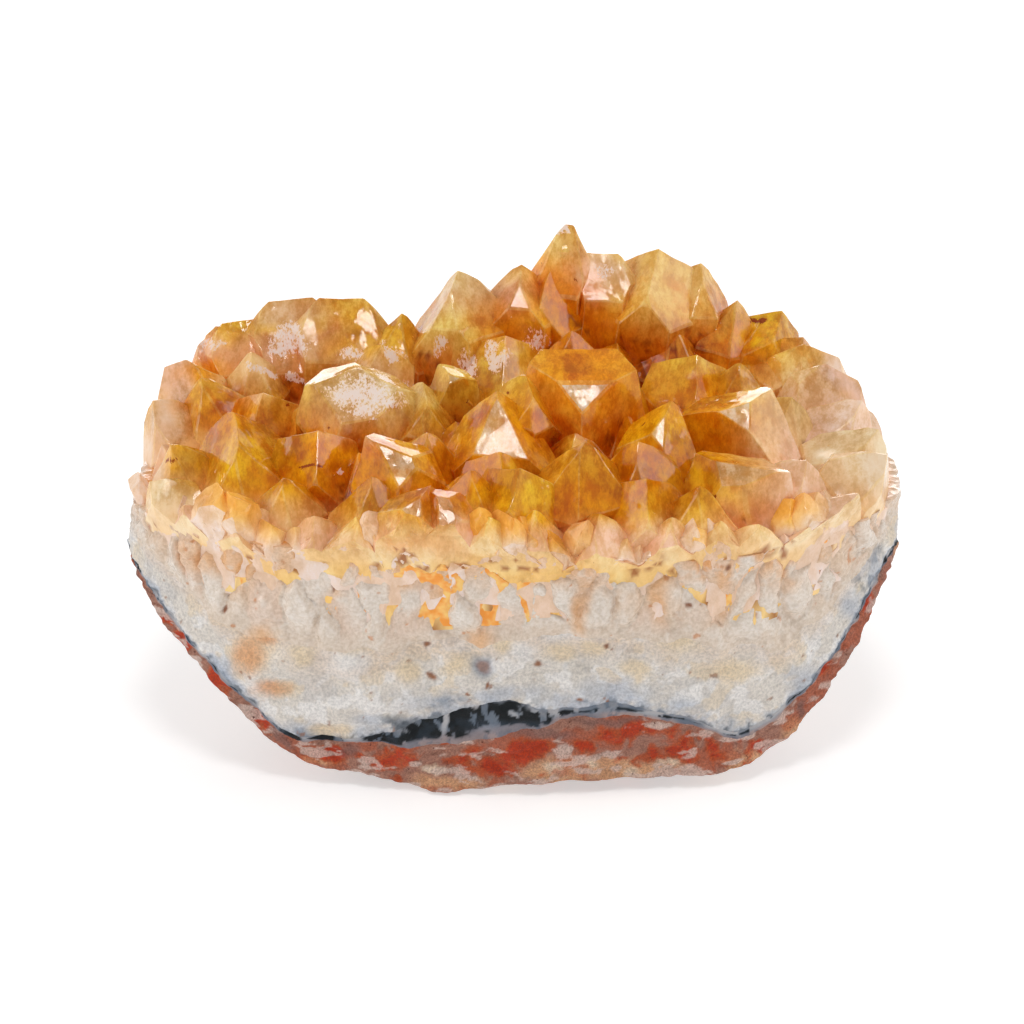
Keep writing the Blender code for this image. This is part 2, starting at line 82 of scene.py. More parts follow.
def shellFaces(rows, columns):
    # quads of a grid that closes round its columns, and at each end a fan to a pole; the poles come last
    r, c = np.meshgrid(np.arange(rows - 1), np.arange(columns), indexing="ij")
    n = (c + 1) % columns
    low = r * columns
    quads = np.stack([low + c, low + n, low + columns + n, low + columns + c], axis=-1)
    faces = [tuple(q) for q in quads.reshape(-1, 4).tolist()]
    faces += [(rows * columns, (k + 1) % columns, k) for k in range(columns)]
    base = (rows - 1) * columns
    faces += [(rows * columns + 1, base + k, base + (k + 1) % columns) for k in range(columns)]
    return faces


# Noise

def smooth(t):
    t = np.clip(t, 0.0, 1.0)
    return t * t * (3 - 2 * t)


hashing = {"x": 73856093, "y": 19349663, "z": 83492791, "seed": 265443577, "stir": 1274126177}
cellMargin = 0.12  # how far a cell's point stays from the cell's sides


def stirred(mixed):
    mixed = (mixed ^ (mixed >> 13)) * hashing["stir"]
    return mixed ^ (mixed >> 16)


def tenBits(mixed, shift):
    # a value from 0 to 1 out of ten bits of a hash
    return ((mixed >> shift) & 1023) / 1023


def cellNoise(u, v, seed):
    # distances to the nearest and second nearest of one jittered point in each unit cell of the plane,
    # and a random value from 0 to 1 that belongs to the nearest
    cu = np.floor(u).astype(np.int64)
    cv = np.floor(v).astype(np.int64)
    first = np.full(u.shape, 9.0)
    second = np.full(u.shape, 9.0)
    owner = np.zeros(u.shape)
    for du, dv in itertools.product((-1, 0, 1), repeat=2):
        mixed = (cu + du) * hashing["x"] ^ (cv + dv) * hashing["y"] ^ np.int64(seed * hashing["z"])
        mixed = stirred(mixed)
        pu = cu + du + cellMargin + (1 - 2 * cellMargin) * tenBits(mixed, 0)
        pv = cv + dv + cellMargin + (1 - 2 * cellMargin) * tenBits(mixed, 10)
        distance = np.hypot(u - pu, v - pv)
        nearer = distance < first
        second = np.where(nearer, first, np.minimum(second, distance))
        owner = np.where(nearer, tenBits(mixed, 20), owner)
        first = np.where(nearer, distance, first)
    return first, second, owner


def latticeNoise(points, seed):
    # smooth noise from -1 to 1: a hashed value at each corner of the unit cell, blended by t*t*(3-2t)
    cell = np.floor(points).astype(np.int64)
    t = points - cell
    t = t * t * (3 - 2 * t)
    total = np.zeros(points.shape[:-1])
    for corner in itertools.product((0, 1), repeat=3):
        a = cell + np.array(corner)
        mixed = a[..., 0] * hashing["x"] ^ a[..., 1] * hashing["y"] ^ a[..., 2] * hashing["z"]
        value = (stirred(mixed ^ np.int64(seed * hashing["seed"])) & 65535) / 32767.5 - 1
        total += np.prod(np.where(corner, t, 1 - t), axis=-1) * value
    return total


def fractalNoise(points, size, octaves, seed):
    # octaves of lattice noise, each half the size and half the height of the one before, and moved along
    total = np.zeros(points.shape[:-1])
    for k in range(octaves):
        total += 0.5**k * latticeNoise(points / (size / 2**k) + 17.3 * k, seed + k)
    return total


def patches(points, size, octaves, seed, start, width):
    # patches of noise: 0 where it is under `start`, 1 where it is more than `width` above that
    return smooth((fractalNoise(points, size, octaves, seed) - start) / width)


def warped(points, sizes, seed):
    # moves points by three noises, one along each axis, for every (size, height) in mm
    return sum(height * np.stack([fractalNoise(points, size, 2, seed + 7 * k) for k in range(3)], axis=-1)
               for size, height in sizes)


# The rim and the broken wall, as in the solids

rimStations = np.array([
    # x, y, then the heights of the underside, rind top, seam top, bed top and root top
    (40.0, 1.5, 20.6, 22.0, 22.8, 25.4, 28.0),
    (39.0, 7.5, 21.0, 23.4, 24.2, 26.4, 28.8),
    (36.0, 13.0, 20.6, 24.0, 24.8, 27.0, 29.6),
    (31.6, 18.6, 20.0, 23.8, 24.6, 27.2, 30.2),
    (24.5, 22.8, 19.2, 23.2, 24.1, 27.0, 30.8),
    (15.0, 25.8, 18.6, 22.6, 23.5, 26.6, 31.2),
    (5.0, 26.0, 18.2, 22.2, 23.0, 26.4, 31.4),
    (-5.5, 25.0, 18.2, 21.8, 22.6, 26.2, 31.2),
    (-15.5, 24.0, 18.4, 21.8, 22.7, 26.2, 30.8),
    (-25.0, 22.6, 18.8, 21.8, 22.6, 26.0, 30.2),
    (-32.6, 19.2, 19.4, 22.0, 22.8, 26.0, 29.4),
    (-37.0, 12.0, 19.8, 22.0, 22.7, 26.0, 28.8),
    (-39.2, 5.0, 20.0, 21.6, 22.3, 25.6, 28.0),
    (-40.0, -1.5, 19.8, 20.8, 21.5, 25.0, 27.4),
    (-38.6, -6.6, 18.2, 19.1, 19.8, 24.0, 27.6),
    (-35.6, -10.8, 15.2, 16.5, 17.3, 22.2, 28.2),
    (-31.8, -14.2, 11.6, 12.8, 13.6, 19.6, 28.6),
    (-27.2, -17.0, 6.7, 8.6, 9.4, 17.6, 28.8),
    (-21.8, -18.8, 2.7, 5.0, 5.9, 16.8, 29.0),
    (-14.6, -20.2, 1.6, 5.6, 6.8, 17.4, 29.0),
    (-8.2, -21.0, 0.4, 5.8, 9.3, 18.2, 29.0),
    (-1.4, -21.6, 1.2, 7.8, 11.6, 19.2, 29.0),
    (5.0, -21.4, 1.5, 9.2, 10.6, 19.3, 28.6),
    (11.2, -21.0, 1.6, 9.8, 10.9, 19.0, 28.2),
    (17.2, -20.0, 1.6, 8.4, 9.4, 18.4, 28.0),
    (23.0, -18.6, 2.0, 5.7, 6.6, 17.0, 28.0),
    (28.8, -16.0, 4.4, 8.3, 9.2, 16.4, 28.0),
    (33.2, -12.4, 9.8, 13.3, 14.2, 19.4, 28.0),
    (37.0, -8.0, 15.8, 18.2, 19.0, 23.0, 27.8),
    (39.4, -3.6, 19.6, 21.2, 22.0, 24.8, 27.8),
])
bowl = {"centreHeights": (0.0, 5.2, 6.6, 20.0, 30.5), "flatShare": 0.42, "power": 1.6, "bedPower": 2.0}
breakage = {
    "lean": 4.0, "lip": 31.0, "from": -4.0, "to": -17.0, "hackle": 0.45,
    "coarse": (7.0, 0.45), "middle": (2.2, 0.22), "fine": (0.7, 0.07),  # size and height in mm
    "steps": 3, "flat": 0.6,  # steps to a unit of the coarse noise, and how flat they are
    "inward": 0.35,  # keeps the noise's peaks inside the solid
}


layerGrid = {
    "around": 900, "frontDensity": 2.2,  # points round each ring, and how much finer in front
    "wave": (0.0, 0.3, 0.3, 0.6, 0.0),  # mm that the boundary between two layers wanders
    "waveFade": 6,  # power of the share of the plan radius by which that dies out inwards
    "overlap": 0.03,  # mm that a layer runs into the one below, so that no gap shows
    "wallFrom": (0.95, 0.05),  # share of the plan radius where a face begins to be wall, and over how much
    "underFrom": (0.44, 0.08), "underTo": (0.93, 0.05),  # the same for the pits of the underside
    "frontFrom": 2.0, "frontFade": 8.0,  # y in mm where the front's finer points begin, and over how much
}


def rimAt(position):
    # closed Catmull-Rom curve through the stations; position counts stations
    index = np.floor(position).astype(int)
    t = (position - index)[:, None]
    count = len(rimStations)
    before, start, end, after = (rimStations[(index + k) % count] for k in (-1, 0, 1, 2))
    return 0.5 * (2 * start + (end - before) * t + (2 * before - 5 * start + 4 * end - after) * t**2
                  + (3 * start - before - 3 * end + after) * t**3)


def rimRows(count):
    return rimAt(np.arange(count) / count * len(rimStations))


def rimReach(x, y, count=72):
    # how far from the middle the rim lies on each point's bearing, by straight steps between `count` rows
    rim = rimRows(count)
    return np.interp(np.arctan2(y, x), np.arctan2(rim[:, 1], rim[:, 0]), np.hypot(rim[:, 0], rim[:, 1]),
                     period=2 * math.pi)


def evenRim(count, frontDensity):
    # rim rows at steps of even weight, front steps `frontDensity` times finer, with outward directions
    fine = rimRows(3000)
    step = np.hypot(*(np.roll(fine[:, :2], -1, axis=0) - fine[:, :2]).T)
    step *= 1 + (frontDensity - 1) * smooth((layerGrid["frontFrom"] - fine[:, 1]) / layerGrid["frontFade"])
    run = np.concatenate([[0], np.cumsum(step)])
    position = np.interp(np.arange(count) / count * run[-1], run, np.arange(len(run))) / len(fine)
    rim = rimAt(position * len(rimStations))
    along = np.roll(rim[:, :2], -1, axis=0) - np.roll(rim[:, :2], 1, axis=0)
    outward = np.column_stack([along[:, 1], -along[:, 0]])
    return rim, outward / np.linalg.norm(outward, axis=1)[:, None]


def ripple(a, b, seed):
    # the solids' own three waves
    return (np.sin(0.41 * a + 0.23 * b + 1.7 * seed) + np.sin(0.83 * b - 0.37 * a + 2.9 * seed)
            + np.sin(1.13 * a + 0.71 * b + 0.6 * seed)) * 0.45


def leanFront(points):
    # the front leans back below the lip: y += share * (lean * (1 - z / lip) + hackle)
    bent = np.array(points, float)
    share = smooth((bent[..., 1] - breakage["from"]) / (breakage["to"] - breakage["from"]))
    drop = 1 - bent[..., 2] / breakage["lip"]
    hackle = breakage["hackle"] * ripple(bent[..., 0], bent[..., 2], 1.0)
    bent[..., 1] += share * (breakage["lean"] * drop + hackle)
    return bent


def wallRelief(points):
    # how far the broken wall stands out: three sizes of noise, the coarse one in flat steps
    coarse = fractalNoise(points, breakage["coarse"][0], 2, 5)
    stepped = np.round(coarse * breakage["steps"]) / breakage["steps"] * breakage["flat"]
    relief = (stepped + coarse * (1 - breakage["flat"])) * breakage["coarse"][1]
    relief += fractalNoise(points, breakage["middle"][0], 2, 9) * breakage["middle"][1]
    relief += fractalNoise(points, breakage["fine"][0], 2, 13) * breakage["fine"][1]
    return relief - breakage["inward"]


def levelHeight(level, rim, share):
    # height of a layer's face at a share of the plan radius
    centre = bowl["centreHeights"][level]
    if level < 3:
        rise = (np.clip(share - bowl["flatShare"], 0, None) / (1 - bowl["flatShare"])) ** bowl["power"]
    else:
        rise = share ** bowl["bedPower"]
    return centre + (rim[:, 2 + level] - centre) * rise


def layerShell(low, high, look):
    # a closed shell: rings out along the lower face, up the wall and in along the upper face.
    # Returns the points (rows, columns), and for each how much it is wall, its rise up the wall and its
    # run round it.
    rim, outward = evenRim(layerGrid["around"], layerGrid["frontDensity"])
    edge = np.column_stack([rim[:, :2], np.zeros(len(rim))])
    run = np.concatenate([[0], np.cumsum(np.hypot(*np.diff(rim[:, :2], axis=0).T))])
    waves = [layerGrid["wave"][k] * fractalNoise(edge, 3.0, 3, 21 + k) for k in (low, high)]
    lap = layerGrid["overlap"] if low else 0.0
    lowZ = rim[:, 2 + low] + waves[0] - lap
    highZ = rim[:, 2 + high] + waves[1]
    wallStart, wallWidth = layerGrid["wallFrom"]
    fade = layerGrid["waveFade"]
    rows = []
    wall = []
    rise = []

    def addRing(s, z, up):
        rows.append(np.column_stack([rim[:, 0] * s, rim[:, 1] * s, z]))
        wall.append(float(smooth((s - wallStart) / wallWidth)))
        rise.append(up)

    for s in look["lowerRings"]:
        addRing(s, levelHeight(low, rim, s) + (waves[0] - lap) * s**fade, 0.0)
    for t in np.linspace(0, 1, look["wallRows"]):
        addRing(1.0, lowZ + (highZ - lowZ) * t, t)
    for s in look["upperRings"]:
        addRing(s, levelHeight(high, rim, s) + waves[1] * s**fade, 1.0)
    points = np.stack(rows)
    if "under" in look:
        count = len(look["lowerRings"])
        s = np.array(look["lowerRings"])[:, None]
        inside = smooth((s - layerGrid["underFrom"][0]) / layerGrid["underFrom"][1])
        inside = inside * (1 - smooth((s - layerGrid["underTo"][0]) / layerGrid["underTo"][1]))
        points[:count, :, 2] += look["under"](points[:count]) * inside
    points = leanFront(points)
    wall = np.array(wall)[:, None]
    rise = np.array(rise)[:, None] + np.zeros(len(rim))
    run = run[None] + 0 * rise
    relief = wallRelief(points) + look["relief"](points, run, rise)
    points[..., :2] += outward[None] * (relief * wall)[..., None]
    return points, wall + 0 * rise, rise, run


def closeShell(grid):
    rows, columns = grid.shape[:2]
    points = np.concatenate([grid.reshape(-1, 3), [grid[0].mean(axis=0)], [grid[-1].mean(axis=0)]])
    return points, shellFaces(rows, columns)


# The picture: places that the photograph shows are written as mm across and up in it

picture = {
    "distance": 450.0, "elevation": 25.0, "aimHeight": 24.3,  # mm and degrees
    "pxPerMm": 9.575, "side": 1024, "centrePx": 514,
    "nearShare": 0.8, "farShare": 1.2, "halvings": 40,  # where along a sight line the cluster is sought
}
tilt = math.radians(picture["elevation"])
ahead = np.array([0.0, math.cos(tilt), -math.sin(tilt)])
upward = np.array([0.0, math.sin(tilt), math.cos(tilt)])
aim = np.array([0.0, 0.0, picture["aimHeight"]])


def pictureOf(points):
    # mm across and up, where the sight line of each point passes the aim
    offset = points - aim
    scale = picture["distance"] / (picture["distance"] + offset @ ahead)
    return offset[..., 0] * scale, (offset @ upward) * scale


def pixelOf(points):
    # the same places as pixels of the photograph
    across, up = pictureOf(points)
    return picture["centrePx"] + across * picture["pxPerMm"], picture["side"] / 2 - up * picture["pxPerMm"]


def sightLine(across, up):
    eye = aim - picture["distance"] * ahead
    return eye, aim + upward * up + np.array([across, 0.0, 0.0]) - eye


# Crystals

crystalRules = {
    "pyramidTilt": 51.8, "spireTilt": 64.0, "footLevel": 25.0,
    "unevenness": 0.09, "unevenTurn": 2.1,  # how much the six sides differ, and radians from side to side
    "crestHeight": 39.5, "crestRise": 0.05, "crestDroop": 0.0038,
    "facetFall": 48.0, "facetUpright": 1.2, "facetSpin": 29.0,
    "firstFall": {"shine": 24.0, "sail": 36.0, "frost": 36.0},
    "footRadius": 0.6, "aboveBed": 1.2,  # share of the width within which a foot stays these mm above the bed
    "chamferFrom": 0.3, "chamferTo": 1.99,  # an edge is worn where its two normals together are this long
}
tiny = {"parallel": 1e-5, "inside": 1e-5, "touching": 2e-3, "digits": 3}  # tolerances of the corners
commonHabits = ["blunt", "chisel", "six", "three"]
faceShares = {
    "six": (0.0, 0.03, 0.0, 0.04, 0.01, 0.02),
    "three": (0.0, 0.2, 0.02, 0.17, 0.0, 0.22),
    "chisel": (-0.02, 0.16, 0.12, -0.03, 0.14, 0.18),
    "blunt": (-0.05, 0.05, -0.02, 0.08, 0.0, 0.03),
    "spire": (0.0, -0.12, 0.05, 0.1, 0.03, 0.0),
}
crystalsSeen = [
    # mm across and up in the picture, mm proud of the crest, width, degrees that it leans to the right and to
    # the front, spin, habit. First those along the front lip, left to right
    (-38.4, 3.1, -2.0, 8.0, -34, 10, 10, "blunt"),
    (-35.9, 7.0, -0.5, 9.0, -20, 10, 24, "six"),
    (-29.0, 9.2, 0.8, 12.5, -6, 14, 8, "chisel"),
    (-20.5, 8.6, -0.4, 9.5, 2, 12, 30, "three"),
    (-31.6, 2.6, -3.4, 9.5, -16, 12, 40, "blunt"),
    (-24.0, 3.5, -2.4, 7.0, -4, 14, 14, "six"),
    (-14.8, 3.6, -2.2, 9.0, -2, 12, 20, "six"),
    (-4.6, 4.2, -1.8, 8.5, 2, 12, 40, "six"),
    (0.6, 4.6, -1.4, 8.5, 4, 14, 16, "three"),
    (7.4, 7.4, 0.2, 10.0, 2, 8, 0, "six"),
    (12.8, 7.5, 0.0, 8.5, -2, 12, 22, "blunt"),
    (13.7, 3.6, -2.4, 8.5, 4, 14, 38, "three"),
    (19.4, 2.6, -2.6, 8.5, 2, 12, 12, "six"),
    (30.5, 5.6, -0.6, 10.5, 20, 10, 30, "blunt"),
    (25.4, -1.0, -4.4, 8.5, 8, 12, 26, "blunt"),
    (31.5, -1.4, -4.2, 9.0, 18, 12, 6, "blunt"),
    (36.6, -2.0, -3.6, 8.0, 30, 10, 34, "six"),
    (36.0, 2.0, -2.0, 8.5, 32, 8, 20, "six"),
    (39.2, 6.3, 0.0, 8.5, 40, 2, 44, "blunt"),
    # low ones against the broken face
    (-34.6, 0.6, -3.8, 7.5, -24, 12, 14, "six"),
    (-29.2, -0.8, -5.0, 7.5, -10, 12, 32, "three"),
    (-26.4, 0.4, -4.6, 7.0, -4, 10, 8, "six"),
    (-21.0, -0.2, -4.8, 8.0, -2, 10, 22, "blunt"),
    (-16.6, -0.6, -5.0, 7.0, 0, 10, 46, "six"),
    (-2.6, -0.4, -4.8, 7.5, 2, 10, 18, "three"),
    (2.2, 0.2, -4.6, 7.0, 2, 10, 34, "six"),
    (8.8, 0.0, -4.8, 8.0, 2, 10, 12, "blunt"),
    (16.6, -0.6, -5.0, 7.5, 4, 10, 28, "six"),
    (21.6, -1.0, -5.0, 7.5, 6, 10, 6, "six"),
    # the second row
    (-32.8, 14.0, 0.2, 11.0, -14, 8, 34, "six"),
    (-26.3, 12.5, -0.4, 9.0, -2, 10, 12, "three"),
    (-20.5, 12.5, -1.0, 8.0, 0, 14, 26, "six"),
    (-9.3, 12.7, -0.6, 9.0, 2, 12, 8, "chisel"),
    (-9.0, 8.2, -1.2, 7.5, 6, 14, 33, "six"),
    (1.6, 13.4, 1.2, 8.0, 6, 12, 14, "chisel"),
    (11.6, 12.0, -1.0, 8.0, 8, 12, 44, "six"),
    (19.0, 16.4, 0.2, 9.5, 6, 8, 30, "three"),
    (28.8, 12.5, 0.0, 10.5, 16, 6, 18, "blunt"),
    (32.4, 17.2, 0.6, 9.0, 22, -2, 88, "chisel"),
    (34.6, 14.9, 0.6, 8.5, 28, 0, 84, "chisel"),
    (36.4, 12.0, 0.4, 8.5, 30, 2, 20, "blunt"),
    (38.2, 9.0, 0.2, 9.0, 34, 2, 8, "blunt"),
    (-38.2, 11.8, -0.2, 9.5, -26, 2, 20, "blunt"),
    (-36.2, 15.6, 0.2, 9.0, -22, -2, 88, "chisel"),
    # the middle rows
    (-27.6, 16.7, -0.4, 7.5, -4, 8, 40, "six"),
    (-33.3, 18.8, 0.4, 9.5, -16, 0, 14, "blunt"),
    (-23.9, 20.0, 0.2, 9.0, -2, 6, 32, "blunt"),
    (-16.4, 20.4, 0.0, 8.5, 2, 6, 10, "three"),
    (-13.8, 17.6, -0.4, 7.5, 4, 8, 0, "three"),
    (-7.9, 20.6, 0.0, 8.0, 0, 4, 24, "six"),
    (-6.2, 15.0, -1.0, 8.0, 2, 10, 44, "six"),
    (-1.1, 18.4, 0.2, 10.5, 2, 8, 30, "three"),
    (-2.0, 23.3, 1.0, 9.0, 0, 0, 16, "blunt"),
    (6.0, 19.0, 0.2, 9.5, 0, 6, 20, "six"),
    (16.5, 20.4, 0.4, 10.0, 4, 4, 48, "six"),
    (23.6, 15.5, -0.2, 9.0, 10, 6, 26, "six"),
    (25.5, 20.2, 0.4, 9.0, 12, 0, 10, "blunt"),
    (30.0, 18.4, 0.6, 9.0, 20, -2, 36, "three"),
    # the far crest
    (-31.8, 20.7, 1.2, 7.0, -14, -8, 30, "six"),
    (-28.6, 20.3, 1.0, 8.0, -8, -6, 92, "chisel"),
    (-23.3, 22.7, 2.4, 10.0, -6, -6, 90, "chisel"),
    (-17.9, 22.8, 2.4, 10.0, 0, -6, 86, "chisel"),
    (-11.8, 20.8, 0.6, 8.0, 4, -6, 22, "six"),
    (-6.2, 25.6, 5.0, 10.5, -6, -6, 8, "blunt"),
    (0.6, 26.2, 5.0, 8.5, 2, -8, 28, "blunt"),
    (3.9, 26.0, 4.2, 10.5, 2, 2, 14, "three"),
    (5.3, 30.5, 8.8, 6.2, 3, -2, 22, "spire"),
    (9.4, 27.3, 5.4, 7.0, 4, -8, 88, "chisel"),
    (15.0, 27.6, 6.2, 11.5, 4, 0, 18, "three"),
    (19.4, 26.2, 4.8, 8.0, 10, -4, 44, "blunt"),
    (23.4, 22.0, 1.6, 8.0, 14, -6, 5, "six"),
    (27.8, 21.0, 1.6, 7.5, 18, -6, 26, "three"),
]
facetsSeen = [
    # corners across and up in the picture, mm above the crest, turn to the right, slope, width
    ("kite", [(-14.4, 7.3), (-10.5, 5.7), (-10.1, 4.6), (-11.9, 2.5)], 0.0, 4, 42, 9.0),
    ("shine", [(10.3, 13.6), (4.6, 13.5), (7.1, 10.3)], 1.2, -2, 42, 13.0),
    ("sail", [(24.8, 11.5), (24.8, 8.4), (21.3, 10.4)], 0.6, 2, 40, 11.0),
    ("fin", [(15.7, 10.2), (15.5, 6.5), (14.1, 8.1)], 0.2, -4, 42, 8.0),
    ("chip", [(-11.8, 0.3), (-9.7, 1.5), (-9.7, -1.2), (-10.5, -1.2)], -3.0, 0, 44, 7.5),
    ("blade", [(-8.0, 1.7), (-6.8, 1.5), (-6.0, -0.7), (-6.3, -2.3), (-7.6, -3.0)], -2.6, 2, 46, 7.5),
    ("ell", [(-1.8, 12.0), (1.7, 5.4), (-4.4, 6.0)], 0.6, -3, 40, 11.0),
    ("frost", [(-20.9, 13.3), (-16.4, 15.2), (-12.2, 13.0), (-12.4, 11.5), (-14.5, 9.9), (-18.2, 9.2)],
     0.8, -8, 30, 12.5),
    ("band", [(21.1, 5.4), (27.6, 4.2), (24.1, 2.8), (21.6, 2.6)], -1.0, 6, 36, 10.5),
    ("spark", [(-6.8, 14.5), (-5.5, 14.0), (-6.8, 13.4)], -0.2, 0, 42, 5.0),
]
fillers = {
    "seed": 11, "tries": 400, "reach": 0.95,  # share of the way out to the rim that they reach
    "width": (6.5, 9.0), "drop": (2.0, 4.5), "spacing": 4.6,  # mm
    "fan": 0.7, "sway": 8.0,  # degrees of lean for each mm from the middle, and at random
}


def crestAt(x, y):
    return crystalRules["crestHeight"] + crystalRules["crestRise"] * y - crystalRules["crestDroop"] * x * x


def seenPoint(across, up, proud):
    # where the sight line comes down to `proud` above the crest, by halving
    eye, ray = sightLine(across, up)
    near = picture["nearShare"]
    far = picture["farShare"]
    for _ in range(picture["halvings"]):
        middle = (near + far) / 2
        point = eye + middle * ray
        if point[2] > crestAt(point[0], point[1]) + proud:
            near = middle
        else:
            far = middle
    return eye + near * ray


def axisOf(leanRight, leanForward):
    axis = np.array([math.tan(math.radians(leanRight)), -math.tan(math.radians(leanForward)), 1.0])
    return axis / np.linalg.norm(axis)


def squareTo(axis):
    # two directions square to the axis and to each other
    side = np.cross(axis, (0.0, 1.0, 0.0))
    side /= np.linalg.norm(side)
    return side, np.cross(axis, side)


def prismPlanes(middle, axis, width, spin):
    # rows of normal and distance for the six sides
    side, front = squareTo(axis)
    k = np.arange(6)
    turn = np.radians(spin + 60 * k)[:, None]
    radial = np.cos(turn) * side + np.sin(turn) * front
    uneven = 1 + crystalRules["unevenness"] * np.sin(crystalRules["unevenTurn"] * k + spin)
    return np.column_stack([radial, radial @ middle + width / 2 * uneven])


def crystalPlanes(tip, axis, width, spin, shares, foot=None):
    # six sides, six end faces at their habit's shares of the width from the tip, and a flat foot
    if foot is None:
        foot = sunkFoot(tip, axis, width)
    lean = math.radians(crystalRules["spireTilt" if shares is faceShares["spire"] else "pyramidTilt"])
    sides = prismPlanes(tip, axis, width, spin)
    ends = math.sin(lean) * sides[:, :3] + math.cos(lean) * axis
    ends = np.column_stack([ends, ends @ tip + np.array(shares) * width])
    return np.concatenate([sides, ends, [(0.0, 0.0, -1.0, -foot)]])


def facetUp(turn, slope):
    turn = math.radians(turn)
    slope = math.radians(slope)
    return np.array([math.sin(slope) * math.sin(turn), -math.sin(slope) * math.cos(turn), math.cos(slope)])


def facetPlanes(name, corners, proud, turn, slope, width):
    # a crystal whose end is cut by a measured face: the face, one plane falling away from each of its
    # sides, six sides and a flat foot
    up = facetUp(turn, slope)
    first = seenPoint(*corners[0], proud)
    points = []
    for across, height in corners:
        eye, ray = sightLine(across, height)
        points.append(eye + ray * (up @ first - up @ eye) / (up @ ray))
    middle = np.mean(points, axis=0)
    planes = [(*up, up @ first)]
    for side, (start, end) in enumerate(zip(points, points[1:] + points[:1])):
        fall = crystalRules["facetFall"]
        if side == 0:
            fall = crystalRules["firstFall"].get(name, fall)
        fall = math.radians(fall)
        outward = np.cross(end - start, up)
        outward /= np.linalg.norm(outward)
        if outward @ (middle - start) > 0:
            outward = -outward
        face = math.cos(fall) * up + math.sin(fall) * outward
        planes.append((*face, face @ start))
    axis = up + np.array([0.0, 0.0, crystalRules["facetUpright"]])
    axis /= np.linalg.norm(axis)
    sides = prismPlanes(middle, axis, width, crystalRules["facetSpin"])
    foot = sunkFoot(middle, axis, width)
    return np.concatenate([np.array(planes), sides, [(0.0, 0.0, -1.0, -foot)]]), axis


@functools.lru_cache(maxsize=None)
def triosOf(count):
    return np.array(list(itertools.combinations(range(count), 3)))


def cornersOf(planes):
    # corners of the convex body inside the planes: every meeting of three that no other plane cuts off
    trios = triosOf(len(planes))
    systems = planes[trios][:, :, :3]
    solid = np.abs(np.linalg.det(systems)) > tiny["parallel"]
    spots = np.linalg.solve(systems[solid], planes[trios[solid]][:, :, 3:])[..., 0]
    spots = spots[(spots @ planes[:, :3].T <= planes[:, 3] + tiny["inside"]).all(axis=1)]
    keys = np.round(spots, tiny["digits"])
    return spots[np.unique(keys, axis=0, return_index=True)[1]]


def chamfered(planes, depth):
    # adds a narrow plane along each edge, `depth` below it, and drops the planes that bound nothing;
    # returns the planes and how many of them are faces
    spots = cornersOf(planes)
    on = np.abs(spots @ planes[:, :3].T - planes[:, 3]) < tiny["touching"]
    used = on.sum(axis=0) >= 3
    planes = planes[used]
    on = on[:, used]
    shared = on.T.astype(int) @ on.astype(int)
    extra = []
    for i, j in zip(*np.nonzero(np.triu(shared, 1) >= 2)):
        normal = planes[i, :3] + planes[j, :3]
        length = np.linalg.norm(normal)
        if not crystalRules["chamferFrom"] <= length <= crystalRules["chamferTo"]:
            continue
        normal /= length
        edge = spots[on[:, i] & on[:, j]].mean(axis=0)
        extra.append((*normal, normal @ edge - depth))
    return np.concatenate([planes, np.array(extra).reshape(-1, 4)]), len(planes)


def footOf(point, axis):
    return point - axis * (point[2] - crystalRules["footLevel"]) / axis[2]


def bedHeight(x, y):
    # the bed's top, as on the solids
    rim = rimRows(60)
    edge = np.interp(np.arctan2(y, x), np.arctan2(rim[:, 1], rim[:, 0]), rim[:, 5], period=2 * math.pi)
    share = np.clip(np.hypot(x, y) / rimReach(x, y, 60), 0, 1)
    centre = bowl["centreHeights"][3]
    return centre + (edge - centre) * share ** bowl["bedPower"]


def sunkFoot(tip, axis, width):
    # the level that a crystal goes down to, inside the roots and above the bed
    turns = np.linspace(0, 2 * math.pi, 9)
    x, y = footOf(tip, axis)[:2]
    radius = crystalRules["footRadius"] * width
    bed = bedHeight(x + radius * np.cos(turns), y + radius * np.sin(turns))
    return float(bed.max() + crystalRules["aboveBed"])


def largeCrystals():
    # every large crystal as planes, tip, axis, width and spin: the listed ones, those with a measured face,
    # and fillers where there is room
    made = []
    taken = []
    for across, up, proud, width, leanRight, leanForward, spin, habit in crystalsSeen:
        tip = seenPoint(across, up, proud)
        axis = axisOf(leanRight, leanForward)
        made.append((crystalPlanes(tip, axis, width, spin, faceShares[habit]), tip, axis, width, spin))
        taken.append(tuple(((2 * tip + footOf(tip, axis)) / 3)[:2]))
    for facet in facetsSeen:
        planes, axis = facetPlanes(*facet)
        made.append((planes, seenPoint(*facet[1][0], facet[2]), axis, facet[5], crystalRules["facetSpin"]))
        taken.append(tuple(cornersOf(planes)[:, :2].mean(axis=0)))
    rng = np.random.default_rng(fillers["seed"])
    rim = rimRows(72)
    for _ in range(fillers["tries"]):
        turn = rng.uniform(0, 2 * math.pi)
        share = math.sqrt(rng.uniform(0, 1)) * fillers["reach"]
        x, y = share * rim[int(turn / (2 * math.pi) * len(rim)), :2]
        size = rng.uniform(*fillers["width"])
        drop = rng.uniform(*fillers["drop"])
        lean = rng.uniform(-fillers["sway"], fillers["sway"], 2)
        spin = rng.uniform(0, 60)
        habit = commonHabits[int(rng.integers(len(commonHabits)))]
        if min(math.hypot(x - a, y - b) for a, b in taken) < fillers["spacing"]:
            continue
        taken.append((x, y))
        axis = axisOf(x * fillers["fan"] + lean[0], -y * fillers["fan"] + lean[1])
        tip = np.array([x, y, crestAt(x, y) - drop])
        made.append((crystalPlanes(tip, axis, size, spin, faceShares[habit]), tip, axis, size, spin))
    return made


